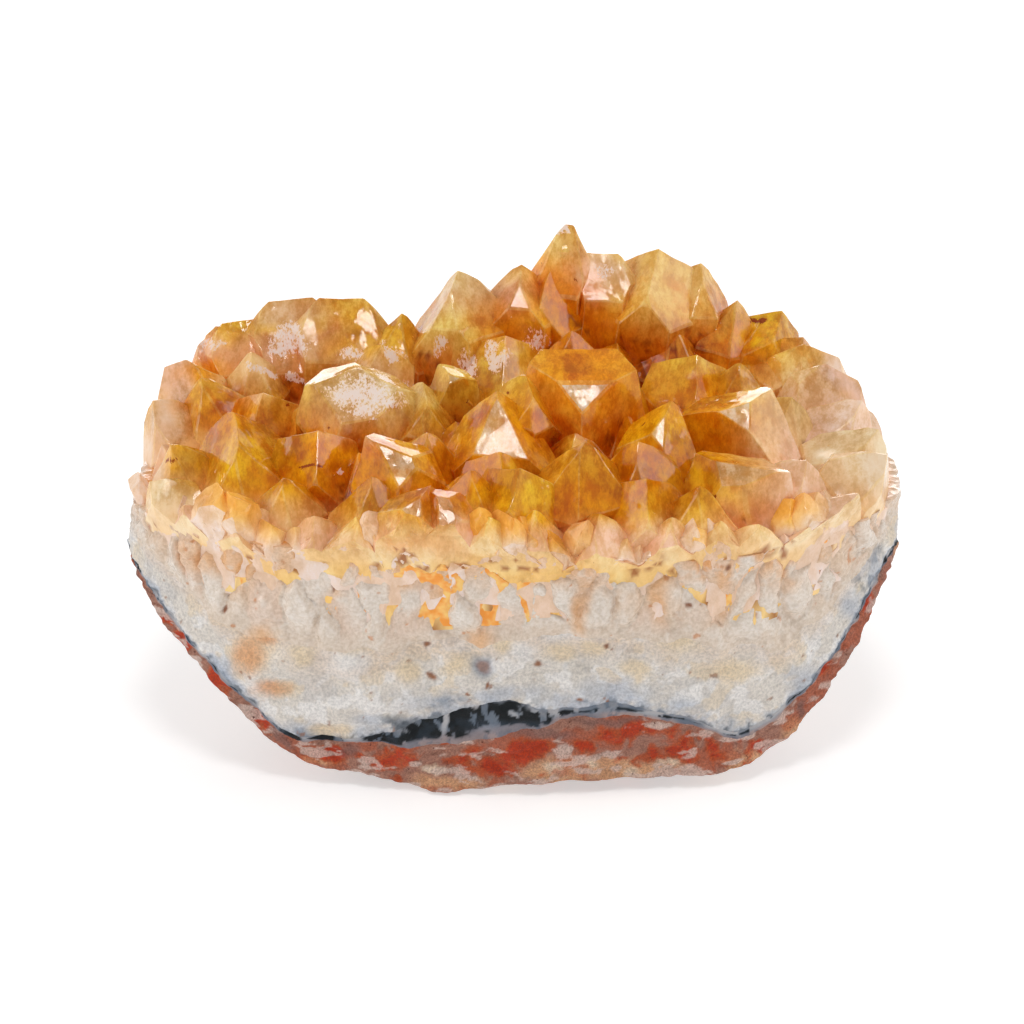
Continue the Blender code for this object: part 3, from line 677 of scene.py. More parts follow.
satellites = {
    "seed": 5, "each": (3, 6), "width": (0.12, 0.36),  # of the host's width
    "below": (0.12, 0.62),  # tips below the host's, as shares of its width
    "proud": 0.12,  # how far their tips stand out of the host's face, as a share of their own width
    "turn": 4.0,  # degrees that they are off parallel
    "shortest": 3.0, "length": 2.2,  # mm, and as a share of their own width
}


def satelliteCrystals(hosts):
    # small crystals grown parallel on the end faces and shoulders of the large ones, as planes
    rng = np.random.default_rng(satellites["seed"])
    made = []
    for planes, tip, axis, width, spin in hosts:
        side, front = squareTo(axis)
        for _ in range(int(rng.integers(*satellites["each"]))):
            size = width * rng.uniform(*satellites["width"])
            below = width * rng.uniform(*satellites["below"])
            bearing = rng.uniform(0, 2 * math.pi)
            wobble = np.radians(rng.uniform(-satellites["turn"], satellites["turn"], 2))
            habit = commonHabits[int(rng.integers(len(commonHabits)))]
            radial = math.cos(bearing) * side + math.sin(bearing) * front
            spot = tip - axis * below
            steep = planes[:-1, :3] @ radial
            gap = planes[:-1, 3] - planes[:-1, :3] @ spot
            reach = np.min(np.where(steep > 1e-6, gap / np.where(steep > 1e-6, steep, 1), 1e9))
            spot = spot + radial * (reach - size * (0.5 - satellites["proud"]))
            turned = axis + side * wobble[0] + front * wobble[1]
            turned /= np.linalg.norm(turned)
            foot = spot[2] - max(satellites["shortest"], size * satellites["length"])
            made.append(crystalPlanes(spot, turned, size, spin, faceShares[habit], foot))
    return made


def hullMesh(planes, number, faceCount):
    # the body's closed hull; each face keeps the body's number, plus a half where it is an edge's chamfer
    body = bmesh.new()
    for corner in cornersOf(planes):
        body.verts.new(corner)
    hull = bmesh.ops.convex_hull(body, input=body.verts)
    loose = {v for v in hull["geom_interior"] + hull["geom_unused"] if isinstance(v, bmesh.types.BMVert)}
    bmesh.ops.delete(body, geom=list(loose), context="VERTS")
    bmesh.ops.recalc_face_normals(body, faces=body.faces)
    mesh = bpy.data.meshes.new("body")
    body.to_mesh(mesh)
    body.free()
    normals = np.empty(len(mesh.polygons) * 3, np.float32)
    mesh.polygons.foreach_get("normal", normals)
    nearest = (normals.reshape(-1, 3) @ planes[:, :3].T).argmax(axis=1)
    owner = number + 0.5 * (nearest >= faceCount)
    mesh.attributes.new("owner", "FLOAT", "FACE").data.foreach_set("value", owner.astype(np.float32))
    return mesh


def joinedSkin(bodies, knife=None):
    # one closed skin round all the bodies, with the knife taken off: points, triangles and whose each of
    # those is. A body is its planes and how many of them are faces.
    group = bpy.data.collections.new("bodies")
    scene.collection.children.link(group)
    helpers = [bpy.data.objects.new("body", hullMesh(body[0], k, body[1])) for k, body in enumerate(bodies)]
    scene.collection.objects.link(helpers[0])
    for helper in helpers[1:]:
        group.objects.link(helper)
    join = helpers[0].modifiers.new("join", "BOOLEAN")
    join.operation = "UNION"
    join.operand_type = "COLLECTION"
    join.collection = group
    join.solver = "MANIFOLD"
    if knife is not None:
        scene.collection.objects.link(knife)
        trim = helpers[0].modifiers.new("trim", "BOOLEAN")
        trim.operation = "DIFFERENCE"
        trim.object = knife
        trim.solver = "MANIFOLD"
        helpers.append(knife)
    mesh = bpy.data.meshes.new_from_object(helpers[0].evaluated_get(bpy.context.evaluated_depsgraph_get()))
    points = np.empty(len(mesh.vertices) * 3, np.float32)
    mesh.vertices.foreach_get("co", points)
    mesh.calc_loop_triangles()
    triangles = np.empty(len(mesh.loop_triangles) * 3, np.int32)
    mesh.loop_triangles.foreach_get("vertices", triangles)
    polygon = np.empty(len(mesh.loop_triangles), np.int32)
    mesh.loop_triangles.foreach_get("polygon_index", polygon)
    owner = np.empty(len(mesh.polygons), np.float32)
    mesh.attributes["owner"].data.foreach_get("value", owner)
    for helper in helpers:
        bpy.data.objects.remove(helper)
    bpy.data.collections.remove(group)
    return points.reshape(-1, 3).astype(float), triangles.reshape(-1, 3), owner[polygon]


def refined(points, faces, owner, longest, buried=26.5, coarse=4.0):
    # splits every edge longer than `longest` in the middle, over and over, and below the level `buried`,
    # inside the roots, only those longer than `coarse`. One, two or three split edges make two, three or
    # four triangles of one. Lengths and levels are in mm.
    while True:
        pairs = np.stack([faces, np.roll(faces, -1, axis=1)], axis=-1)
        keys = pairs.min(axis=-1).astype(np.int64) * len(points) + pairs.max(axis=-1)
        unique, inverse = np.unique(keys.ravel(), return_inverse=True)
        ends = np.stack([unique // len(points), unique % len(points)], axis=-1)
        limit = np.where(points[ends, 2].max(axis=1) < buried, coarse, longest)
        long = np.linalg.norm(points[ends[:, 0]] - points[ends[:, 1]], axis=1) > limit
        if not long.any():
            return points, faces, owner
        middle = np.full(len(unique), -1)
        middle[long] = len(points) + np.arange(long.sum())
        points = np.concatenate([points, points[ends[long]].mean(axis=1)])
        m = middle[inverse.reshape(-1, 3)]
        split = m >= 0
        count = split.sum(axis=1)
        # turn each triangle so that its split edges come first
        turn = np.where(count == 2, ((~split).argmax(axis=1) + 1) % 3, 0)
        turn = np.where(count == 1, split.argmax(axis=1), turn)
        order = (turn[:, None] + np.arange(3)) % 3
        a, b, c = np.take_along_axis(faces, order, axis=1).T
        p, q, r = np.take_along_axis(m, order, axis=1).T
        parts = [
            (count == 0, (a, b, c)),
            (count == 1, (a, p, c)), (count == 1, (p, b, c)),
            (count == 2, (p, b, q)), (count == 2, (a, p, q)), (count == 2, (a, q, c)),
            (count == 3, (a, p, r)), (count == 3, (p, b, q)), (count == 3, (r, q, c)),
            (count == 3, (p, q, r)),
        ]
        faces = np.concatenate([np.stack(corners, axis=-1)[chosen] for chosen, corners in parts])
        owner = np.concatenate([owner[chosen] for chosen, _ in parts])


knifeLook = {
    "heights": (14.0, 20.0, 25.0, 27.5, 29.5, 32.0, 36.0, 42.0, 62.0),
    "stand": (-0.9, -0.9, -0.8, -0.2, 0.5, 0.9, 1.2, 1.2, 1.2),  # mm that crystals stand out of the wall
    "thickness": 30.0, "around": 120,
    "evened": 3,  # neighbours on each side over which the rim's small bends are evened
}


def rimKnife(stand=knifeLook["stand"]):
    # a thick ring round the broken edge, its inner face `stand` outside the rim at each height
    rim = rimRows(knifeLook["around"])
    reach = np.hypot(rim[:, 0], rim[:, 1])
    span = knifeLook["evened"]
    evened = np.mean([np.roll(reach, k) for k in range(-span, span + 1)], axis=0)
    inner = list(zip(stand, knifeLook["heights"]))
    outer = [(knifeLook["thickness"], z) for z in knifeLook["heights"][::-1]]
    loops = []
    for out, z in inner + outer:
        scale = (evened + out) / reach
        loops.append(np.column_stack([rim[:, 0] * scale, rim[:, 1] * scale, np.full(len(rim), z)]))
    points = leanFront(np.stack(loops)).reshape(-1, 3)
    r, k = np.meshgrid(np.arange(len(loops)), np.arange(len(rim)), indexing="ij")
    low = r * len(rim)
    high = (r + 1) % len(loops) * len(rim)
    n = (k + 1) % len(rim)
    faces = np.stack([low + k, high + k, high + n, low + n], axis=-1)
    mesh = bpy.data.meshes.new("knife")
    mesh.from_pydata(points.tolist(), [], faces.reshape(-1, 4).tolist())
    return bpy.data.objects.new("knife", mesh)


# Materials: helpers that add and join nodes

def startMaterial(name, roughness, ior=1.5):
    # a Principled material and its Object coordinates in millimetres
    material = bpy.data.materials.new(name)
    material.use_nodes = True
    tree = material.node_tree
    shader = tree.nodes["Principled BSDF"]
    shader.inputs["Roughness"].default_value = roughness
    shader.inputs["IOR"].default_value = ior
    place = tree.nodes.new("ShaderNodeTexCoord")
    inMm = tree.nodes.new("ShaderNodeMapping")
    inMm.inputs["Scale"].default_value = (1 / mm, 1 / mm, 1 / mm)
    tree.links.new(place.outputs["Object"], inMm.inputs["Vector"])
    return material, tree, shader, inMm.outputs["Vector"]


def plug(tree, socket, value):
    if isinstance(value, bpy.types.NodeSocket):
        tree.links.new(value, socket)
    else:
        socket.default_value = value


def noise(tree, where, size, detail=4.0, rough=0.55):
    # size in millimetres
    node = tree.nodes.new("ShaderNodeTexNoise")
    tree.links.new(where, node.inputs["Vector"])
    node.inputs["Scale"].default_value = 1 / size
    node.inputs["Detail"].default_value = detail
    node.inputs["Roughness"].default_value = rough
    return node.outputs["Fac"]


def cells(tree, where, size):
    # distance to the nearest of scattered points, about `size` millimetres apart
    node = tree.nodes.new("ShaderNodeTexVoronoi")
    tree.links.new(where, node.inputs["Vector"])
    node.inputs["Scale"].default_value = 1 / size
    return node.outputs["Distance"]


def band(tree, value, low, high, fromValue=0.0, toValue=1.0):
    # a smooth step from one value to another
    node = tree.nodes.new("ShaderNodeMapRange")
    node.interpolation_type = "SMOOTHSTEP"
    for label, number in (("From Min", low), ("From Max", high), ("To Min", fromValue), ("To Max", toValue)):
        node.inputs[label].default_value = number
    tree.links.new(value, node.inputs["Value"])
    return node.outputs["Result"]


def sums(tree, operation, first, second):
    node = tree.nodes.new("ShaderNodeMath")
    node.operation = operation
    plug(tree, node.inputs[0], first)
    plug(tree, node.inputs[1], second)
    return node.outputs["Value"]


def added(tree, *values):
    total = values[0]
    for value in values[1:]:
        total = sums(tree, "ADD", total, value)
    return total


def times(tree, value, share):
    return sums(tree, "MULTIPLY", value, share)


def blend(tree, share, first, second, kind="MIX"):
    node = tree.nodes.new("ShaderNodeMix")
    node.data_type = "RGBA"
    node.blend_type = kind
    plug(tree, node.inputs["Factor"], share)
    plug(tree, node.inputs["A"], first)
    plug(tree, node.inputs["B"], second)
    return node.outputs["Result"]


def attribute(tree, name, output="Fac"):
    node = tree.nodes.new("ShaderNodeAttribute")
    node.attribute_name = name
    return node.outputs[output]


def bump(tree, height, depth, strength):
    # depth in millimetres
    node = tree.nodes.new("ShaderNodeBump")
    node.inputs["Strength"].default_value = strength
    node.inputs["Distance"].default_value = depth * mm
    tree.links.new(height, node.inputs["Height"])
    return node.outputs["Normal"]


def toned(tree, share, dark, light, under=None, strength=1.0):
    # the painted colour, or the one under, times a colour between dark and light
    under = attribute(tree, "tint", "Color") if under is None else under
    return blend(tree, strength, under, blend(tree, share, (*dark, 1), (*light, 1)), "MULTIPLY")


def asLinear(colour):
    # a colour as a screen shows it, 0 to 255, as the shaders want it
    c = np.array(colour) / 255
    return np.where(c <= 0.04045, c / 12.92, ((c + 0.055) / 1.055) ** 2.4)


def full(colour):
    return (*asLinear(colour).tolist(), 1.0)


def marked(px, py, spots, soft=0.45):
    # 1 inside any ellipse (x, y, half width, half height, turn, strength), fading to 0 round its edge
    total = np.zeros(px.shape)
    for spot in spots:
        x, y, halfWidth, halfHeight, turn, strength = (*spot, *(0.0, 1.0)[len(spot) - 4:])
        turn = math.radians(turn)
        u = (px - x) * math.cos(turn) + (py - y) * math.sin(turn)
        v = (py - y) * math.cos(turn) - (px - x) * math.sin(turn)
        far = np.hypot(u / halfWidth, v / halfHeight)
        total = np.maximum(total, strength * (1 - smooth((far - 1 + soft) / (2 * soft))))
    return total


def tinted(base, layers):
    # a colour for each point: the base, then each (colour, share) laid over it
    colour = np.zeros(layers[0][1].shape + (3,)) + asLinear(base)
    for over, share in layers:
        colour += (asLinear(over) - colour) * np.clip(share, 0, 1)[..., None]
    return colour


def paint(piece, name, colour, domain="POINT"):
    rgba = np.column_stack([colour.reshape(-1, 3), np.ones(colour.size // 3)]).astype(np.float32)
    piece.data.attributes.new(name, "FLOAT_COLOR", domain).data.foreach_set("color", rgba.ravel())


frontFrom = (-1.0, 7.0)  # y in mm where the broken front begins, and over how much


def frontPixels(points, wander, seed):
    # photograph pixels of the points, made to wander so that no mark has a plain outline,
    # and how far each point belongs to the broken front
    px, py = pixelOf(points)
    px = px + wander * fractalNoise(points, 3.2, 4, seed)
    py = py + wander * 0.7 * fractalNoise(points, 2.6, 4, seed + 31)
    return px, py, smooth((frontFrom[0] - points[..., 1]) / frontFrom[1])


def withPoles(values):
    # adds the values of the two pole points of a closed shell
    ends = [values[:1].mean(axis=1), values[-1:].mean(axis=1)]
    return np.concatenate([values.reshape(-1, *values.shape[2:]), *ends])


# The rind of basalt

rindLook = {
    "lowerRings": (0.12, 0.24, 0.34, *np.linspace(0.42, 0.985, 44)), "wallRows": 40,
    "upperRings": (0.98, 0.9, 0.6),
    "blocks": (1.9, 1.3), "blockHeight": 0.28,  # mm along and up, and how far they stand out
    "bubbles": 3.4, "smallBubbles": 1.4, "pitDepth": 0.7, "unevenness": 0.25,  # of the skin underneath, mm
    "colours": {
        "stone": (172, 124, 106), "rust": (188, 84, 38), "red": (190, 58, 18), "tan": (222, 172, 130),
        "cream": (236, 216, 192), "shade": (140, 104, 96), "skin": (142, 106, 92), "umber": (106, 66, 52),
        "pale": (222, 200, 190), "pore": (92, 44, 34),
    },
    # photograph pixels: x, y, half width, half height, turn in degrees, strength
    "red": [
        (215, 672, 12, 10), (228, 688, 14, 8, 40), (256, 725, 10, 12, 50), (190, 640, 7, 12, 60),
        (172, 618, 6, 12, 60), (395, 760, 20, 12), (495, 762, 36, 13), (525, 752, 26, 9), (586, 745, 9, 6),
        (620, 732, 22, 9), (678, 746, 24, 15, -30), (708, 752, 10, 12), (760, 742, 9, 6),
        (820, 668, 8, 9, -50), (442, 741, 12, 5), (330, 756, 22, 8), (865, 598, 7, 12, -60),
    ],
    "tan": [
        (605, 768, 75, 12), (740, 760, 26, 9, -12), (650, 770, 22, 8), (560, 776, 40, 8), (320, 762, 24, 6),
        (790, 726, 16, 10, -45), (450, 783, 36, 7),
    ],
    "cream": [(585, 764, 9, 5), (632, 768, 11, 5), (664, 764, 8, 5), (430, 770, 9, 4), (556, 768, 8, 4)],
    "shade": [
        (352, 752, 10, 8), (545, 735, 30, 5), (610, 718, 40, 4), (280, 738, 16, 6, 25),
        (800, 706, 14, 4, -50),
    ],
}


def rindRelief(points, run, rise):
    # torn stone: blocky steps and small pits
    along, upward = rindLook["blocks"]
    across = run / along + 0.5 * fractalNoise(points, 2.5, 2, 41)
    blocks, edges, _ = cellNoise(across, points[..., 2] / upward, 43)
    return rindLook["blockHeight"] * (edges - blocks) + 0.12 * fractalNoise(points, 0.9, 3, 47) - 0.1


def rindPits(points):
    # the skin that lay against the host rock: shallow bubbles pressed up into it, and uneven all over
    size = rindLook["bubbles"]
    across = points[..., 0] / size + 0.3 * fractalNoise(points, 3.0, 2, 191)
    bubbles = cellNoise(across, points[..., 1] / size, 193)[0]
    size = rindLook["smallBubbles"]
    small = cellNoise(points[..., 0] / size, points[..., 1] / size, 195)[0]
    dents = 0.9 * smooth((0.42 - bubbles) / 0.3) + 0.35 * smooth((0.4 - small) / 0.25)
    return dents * rindLook["pitDepth"] + rindLook["unevenness"] * (1 + fractalNoise(points, 2.0, 4, 197))


def rindColours(points, run, rise, wall):
    # the broken front as the photograph shows it, and a darker, rustier skin over the rest
    c = rindLook["colours"]
    px, py, front = frontPixels(points, 9.0, 51)
    coarse = fractalNoise(points, 5.0, 4, 53)
    fine = fractalNoise(points, 1.3, 4, 57)
    face = front * wall
    off = 1 - face
    reddened = marked(px, py, rindLook["red"], 0.9) + 0.5 * fine
    reddest = marked(px, py, rindLook["red"], 0.6) + 0.7 * fine
    return tinted(c["stone"], [
        (c["skin"], (1 - wall) * (0.55 + 0.3 * coarse)),
        (c["umber"], off * smooth((coarse + 0.5 * fine - 0.05) / 0.35) * 0.7),
        (c["umber"], off * patches(points, 0.8, 3, 69, 0.25, 0.2) * 0.6),
        (c["pale"], off * patches(points, 1.4, 4, 72, 0.35, 0.2) * 0.5),
        (c["tan"], off * patches(points, 7.0, 4, 61, 0.2, 0.3) * 0.7),
        (c["rust"], off * patches(points, 4.0, 4, 63, 0.25, 0.25) * 0.85),
        (c["shade"], smooth((fine - 0.25) / 0.4) * 0.35),
        (c["tan"], face * marked(px, py, rindLook["tan"]) * 0.85),
        (c["cream"], face * marked(px, py, rindLook["cream"]) * 0.85),
        (c["rust"], face * patches(points, 3.2, 4, 67, 0.05, 0.3) * 0.55),
        (c["rust"], face * smooth((reddened - 0.2) / 0.3) * 0.9),
        (c["red"], face * smooth((reddest - 0.55) / 0.3) * 0.9),
        (c["pale"], face * patches(points * (0.6, 1, 1.6), 1.5, 4, 65, 0.22, 0.2) * 0.75),
        (c["shade"], face * marked(px, py, rindLook["shade"]) * 0.75),
    ])


def rindStone():
    material, tree, shader, where = startMaterial("torn basalt", 0.82)
    grain = noise(tree, where, 0.22, 4, 0.7)
    colour = toned(tree, band(tree, grain, 0.3, 0.72), (0.62, 0.55, 0.52), (1.22, 1.2, 1.18))
    pores = band(tree, noise(tree, where, 0.5, 3, 0.6), 0.66, 0.74)
    colour = blend(tree, pores, colour, full(rindLook["colours"]["pore"]))
    tree.links.new(colour, shader.inputs["Base Color"])
    tree.links.new(band(tree, grain, 0.3, 0.7, 0.68, 0.92), shader.inputs["Roughness"])
    tree.links.new(bump(tree, grain, 0.3, 0.8), shader.inputs["Normal"])
    return material


# The thin dark seam, which thickens into lenses

seamLook = {
    "lowerRings": (0.6, 0.9, 0.98), "wallRows": 16, "upperRings": (0.98, 0.9, 0.6),
    "colours": {
        "dark": (13, 19, 23), "blue": (84, 104, 124), "halo": (150, 158, 168), "pale": (206, 196, 190),
        "stone": (178, 150, 140),
    },
    # photograph pixels, as on the rind; the first five lenses are the thick ones
    "thick": 5,
    "lenses": [
        (455, 714, 70, 24, -4), (385, 736, 20, 12), (330, 742, 14, 7), (292, 738, 12, 6, 20),
        (520, 722, 30, 8), (272, 728, 8, 6, 30), (236, 702, 8, 10, 50), (580, 716, 16, 4), (688, 722, 18, 5, 20),
        (730, 742, 16, 5, 15), (770, 738, 10, 6, -20), (838, 648, 9, 12, -50), (866, 600, 10, 16, -60),
        (884, 566, 12, 18, -60), (190, 640, 7, 12, 60), (212, 672, 7, 9, 55), (150, 585, 8, 14, 60),
        (635, 708, 14, 4),
    ],
    "gaps": [(447, 716, 3.5, 22, 10), (500, 729, 26, 3, -4), (474, 704, 4, 6, 30), (512, 716, 6, 2, 30)],
    "blue": [
        (505, 728, 38, 5), (600, 702, 34, 9), (618, 694, 34, 7), (240, 694, 20, 9, 50), (368, 726, 16, 8),
    ],
}


def seamRelief(points, run, rise):
    # the rind's relief at the foot of the wall, the bed's at its top
    return rindRelief(points, run, rise) * (1 - rise) + bedRelief(points, run, rise) * rise


def seamColours(points, run, rise, wall):
    # dark in the lenses of the photograph and in thin threads between them, scattered behind, pale elsewhere
    c = seamLook["colours"]
    px, py, front = frontPixels(points, 5.0, 71)
    scattered = patches(points, 2.2, 4, 73, -0.1, 0.25)
    thin = 0.75 * patches(points, 1.3, 4, 79, 0.02, 0.22)
    dark = scattered + (np.maximum(marked(px, py, seamLook["lenses"], 0.7), thin) - scattered) * front
    dark = dark * (1 - front * marked(px, py, seamLook["gaps"], 0.6))
    torn = smooth((dark + 0.35 * fractalNoise(points, 0.7, 3, 77) - 0.3) / 0.3)
    torn = torn * (1 - 0.8 * front * patches(points * (1.0, 1.0, 0.7), 1.0, 4, 86, 0.42, 0.15))
    thick = np.maximum(marked(px, py, seamLook["lenses"][:seamLook["thick"]], 0.7), 1 - front)
    halfBand = 0.62 * (0.3 + 0.9 * thick) + 0.15 * fractalNoise(points, 1.2, 3, 83)
    torn = torn * smooth((halfBand - np.abs(rise - 0.55)) / 0.2)
    return tinted(c["halo"], [
        (c["pale"], smooth((rise - 0.3) / 0.5) * 0.5),
        (c["stone"], smooth((0.6 - rise) / 0.5) * 0.8),
        (c["blue"], dark * 0.8),
        (c["dark"], torn),
        (c["blue"], torn * patches(points, 1.5, 3, 75, 0.1, 0.5) * 0.12),
        (c["blue"], front * marked(px, py, seamLook["blue"], 0.6) * (0.5 - 0.3 * torn)),
    ])


def seamStone():
    material, tree, shader, where = startMaterial("dark seam", 0.45)
    grain = noise(tree, where, 0.18, 5, 0.7)
    tree.links.new(toned(tree, grain, (0.7, 0.7, 0.72), (1.2, 1.2, 1.2)), shader.inputs["Base Color"])
    tree.links.new(band(tree, grain, 0.3, 0.7, 0.45, 0.7), shader.inputs["Roughness"])
    shader.inputs["Specular IOR Level"].default_value = 0.25
    tree.links.new(bump(tree, grain, 0.15, 0.7), shader.inputs["Normal"])
    return material


# The bed of milky quartz

bedLook = {
    "lowerRings": (0.6, 0.9, 0.98), "wallRows": 54, "upperRings": (0.98, 0.9, 0.6),
    "lumps": (2.6, 2.2), "lumpHeight": 0.32, "grains": (0.75, 0.7), "grainHeight": 0.16,  # mm
    "colours": {
        "milk": (228, 220, 210), "snow": (242, 238, 234), "grey": (206, 202, 200), "blue": (176, 186, 202),
        "cream": (234, 212, 178), "amber": (226, 160, 104), "peach": (232, 204, 178), "speck": (150, 96, 60),
        "ink": (60, 74, 86),
    },
    # photograph pixels, as on the rind
    "cream": [
        (325, 732, 20, 8), (410, 670, 12, 9), (285, 690, 12, 8), (680, 645, 16, 9), (730, 670, 30, 10, -6),
        (497, 646, 10, 8), (255, 652, 22, 22), (560, 650, 16, 9), (594, 650, 14, 8), (352, 640, 20, 12),
        (300, 655, 14, 10), (450, 668, 12, 7), (640, 672, 14, 7),
    ],
    "rust": [(264, 638, 12, 9), (250, 655, 16, 18), (270, 690, 18, 8)],
    "snow": [
        (490, 628, 16, 12), (560, 625, 22, 13), (762, 620, 30, 18), (420, 620, 24, 12), (640, 625, 26, 12),
        (350, 660, 18, 10), (520, 650, 14, 8), (700, 620, 24, 12),
    ],
    "blue": [
        (570, 703, 32, 13), (615, 695, 36, 11), (445, 700, 34, 10), (368, 722, 18, 9), (500, 694, 40, 8),
        (878, 570, 14, 16), (850, 606, 12, 12), (800, 680, 16, 14), (300, 732, 26, 8), (680, 708, 20, 8),
        (225, 672, 12, 12), (479, 666, 10, 9),
    ],
    "inky": [
        (478, 666, 9, 9), (395, 722, 14, 8), (440, 700, 20, 5), (520, 706, 12, 5), (870, 585, 9, 14, -60),
        (885, 560, 8, 14, -70), (143, 535, 4, 8), (290, 734, 12, 4), (586, 703, 5, 4), (605, 706, 4, 3),
    ],
    "specks": [
        (430, 672, 3.5, 4), (428, 648, 3, 3), (485, 683, 3, 3), (537, 662, 3, 3), (607, 648, 3.5, 3),
        (479, 666, 6, 6, 0, 0.7), (585, 700, 3, 3), (604, 705, 2.5, 2), (462, 690, 2, 2),
    ],
}


def bedRelief(points, run, rise):
    # sugary quartz: small rounded grains with a few larger lumps
    along, upward = bedLook["lumps"]
    lumps = cellNoise(run / along + 0.4 * fractalNoise(points, 3.0, 2, 81), points[..., 2] / upward, 83)[0]
    along, upward = bedLook["grains"]
    grains = cellNoise(run / along + 0.3 * fractalNoise(points, 1.0, 2, 85), points[..., 2] / upward, 87)[0]
    relief = bedLook["lumpHeight"] * (0.5 - lumps) + bedLook["grainHeight"] * (0.5 - grains)
    return relief + 0.06 * fractalNoise(points, 0.4, 2, 89)


def bedColours(points, run, rise, wall):
    # milky, bluish and inky along its foot, warmer towards its top
    c = bedLook["colours"]
    px, py, front = frontPixels(points, 8.0, 91)
    coarse = fractalNoise(points, 4.0, 4, 93)
    fine = fractalNoise(points, 1.0, 4, 95)
    off = 1 - front
    return tinted(c["milk"], [
        (c["grey"], smooth((coarse + 0.4 * fine) / 0.6) * 0.5),
        (c["snow"], patches(points, 1.8, 4, 97, 0.05, 0.25) * 0.85),
        (c["cream"], front * patches(points, 2.4, 4, 98, 0.3, 0.2) * 0.5),
        (c["cream"], off * patches(points, 5.0, 4, 99, 0.15, 0.3) * 0.8),
        (c["blue"], off * patches(points, 3.5, 4, 101, 0.2, 0.3) * (1 - rise) * 0.8),
        (c["peach"], smooth((rise - 0.5 + 0.12 * coarse) / 0.5) * 0.5),
        (c["blue"], smooth((0.16 + 0.1 * coarse + 0.06 * fine - rise) / 0.14) * 0.7),
        (c["ink"], smooth((0.045 + 0.09 * fine + 0.05 * coarse - rise) / 0.05) * 0.75),
        (c["ink"], front * marked(px, py, bedLook["inky"], 0.9) * smooth((fine + 0.25) / 0.4) * 0.8),
        (c["snow"], front * marked(px, py, bedLook["snow"], 0.7) * 0.8),
        (c["blue"], front * marked(px, py, bedLook["blue"], 0.8) * 0.6),
        (c["cream"], front * marked(px, py, bedLook["cream"], 0.6) * 0.85),
        (c["amber"], front * marked(px, py, bedLook["rust"], 0.7) * 0.8),
        (c["speck"], front * marked(px, py, bedLook["specks"], 0.5)),
        (c["speck"], patches(points, 0.9, 2, 103, 0.95, 0.12) * 0.7),
    ])


def milkyQuartz():
    material, tree, shader, where = startMaterial("milky quartz", 0.4, 1.544)
    grain = noise(tree, where, 0.3, 3, 0.65)
    colour = toned(tree, band(tree, grain, 0.3, 0.7), (0.7, 0.7, 0.71), (1.02, 1.02, 1.02))
    tree.links.new(colour, shader.inputs["Base Color"])
    tree.links.new(band(tree, grain, 0.35, 0.65, 0.28, 0.6), shader.inputs["Roughness"])
    tree.links.new(bump(tree, grain, 0.2, 0.7), shader.inputs["Normal"])
    return material


# The fused roots of the crystals: upright blocks side by side

rootsLook = {
    "lowerRings": (0.6, 0.9, 0.98), "wallRows": 60,
    "upperRings": tuple(np.linspace(0.99, 0.08, 34)),
    "column": (3.1, 6.5), "columnDepth": 0.6, "chips": (1.1, 1.9), "chipDepth": 0.16,  # mm
    "endsFade": 8.0,  # mm over which the warm tones fade before the ends
    "colours": {
        "milk": (228, 220, 210), "peach": (232, 204, 178), "amber": (240, 180, 118), "deep": (244, 156, 50),
        "snow": (240, 230, 220), "rose": (234, 204, 184), "speck": (140, 84, 48), "rust": (206, 130, 66),
    },
    # photograph pixels, as on the rind
    "snow": [
        (515, 552, 16, 14), (372, 600, 26, 32), (318, 585, 16, 22), (512, 594, 24, 20), (745, 566, 10, 12),
        (800, 570, 10, 9), (810, 525, 10, 9), (620, 580, 18, 18, 30), (762, 620, 26, 16), (410, 600, 14, 12),
        (560, 600, 16, 18), (690, 590, 18, 14), (455, 610, 16, 14),
    ],
    "amber": [
        (335, 572, 7, 26), (262, 640, 14, 12), (255, 662, 14, 14), (440, 590, 10, 26), (478, 640, 12, 14),
        (585, 610, 9, 22), (660, 600, 10, 22), (720, 600, 9, 18), (242, 560, 14, 16), (200, 560, 18, 14),
        (640, 545, 16, 12), (700, 545, 20, 10), (470, 545, 14, 14), (400, 575, 8, 18), (285, 560, 10, 20),
    ],
    "specks": [
        (333, 590, 2.5, 7), (225, 610, 3, 2.5), (205, 535, 3, 2.5), (215, 528, 2.5, 2), (243, 553, 2.5, 2.5),
        (278, 574, 2.5, 3), (430, 540, 4, 3), (692, 604, 3, 2.5), (726, 564, 4, 3), (300, 530, 3, 2, 60),
        (735, 512, 4, 2.5), (748, 516, 4, 2.5), (762, 524, 4, 2.5),
    ],
}


def rootColumns(points, run):
    # upright blocks that wander a little: distances to the nearest and the next, and a value for each block
    wide, tall = rootsLook["column"]
    u = run / wide + 0.35 * fractalNoise(points, 4.0, 3, 111)
    v = points[..., 2] / tall + 0.25 * fractalNoise(points, 5.0, 3, 113)
    return cellNoise(u, v, 115)


def rootRelief(points, run, rise):
    # the bed's grain low down, blocks with creases between them from there up
    near, second, owner = rootColumns(points, run)
    wide, tall = rootsLook["chips"]
    chips = cellNoise(run / wide + 0.4 * fractalNoise(points, 2.0, 2, 117), points[..., 2] / tall, 119)
    crease = smooth((second - near) / 0.45)
    blocks = rootsLook["columnDepth"] * (crease - 0.6) * (0.5 + 0.7 * owner) + 0.4 * (owner - 0.5) * crease
    blocks = blocks + rootsLook["chipDepth"] * (chips[1] - chips[0])
    return bedRelief(points, run, rise) * (1 - 0.7 * smooth(rise / 0.5)) + blocks * smooth(rise / 0.35)


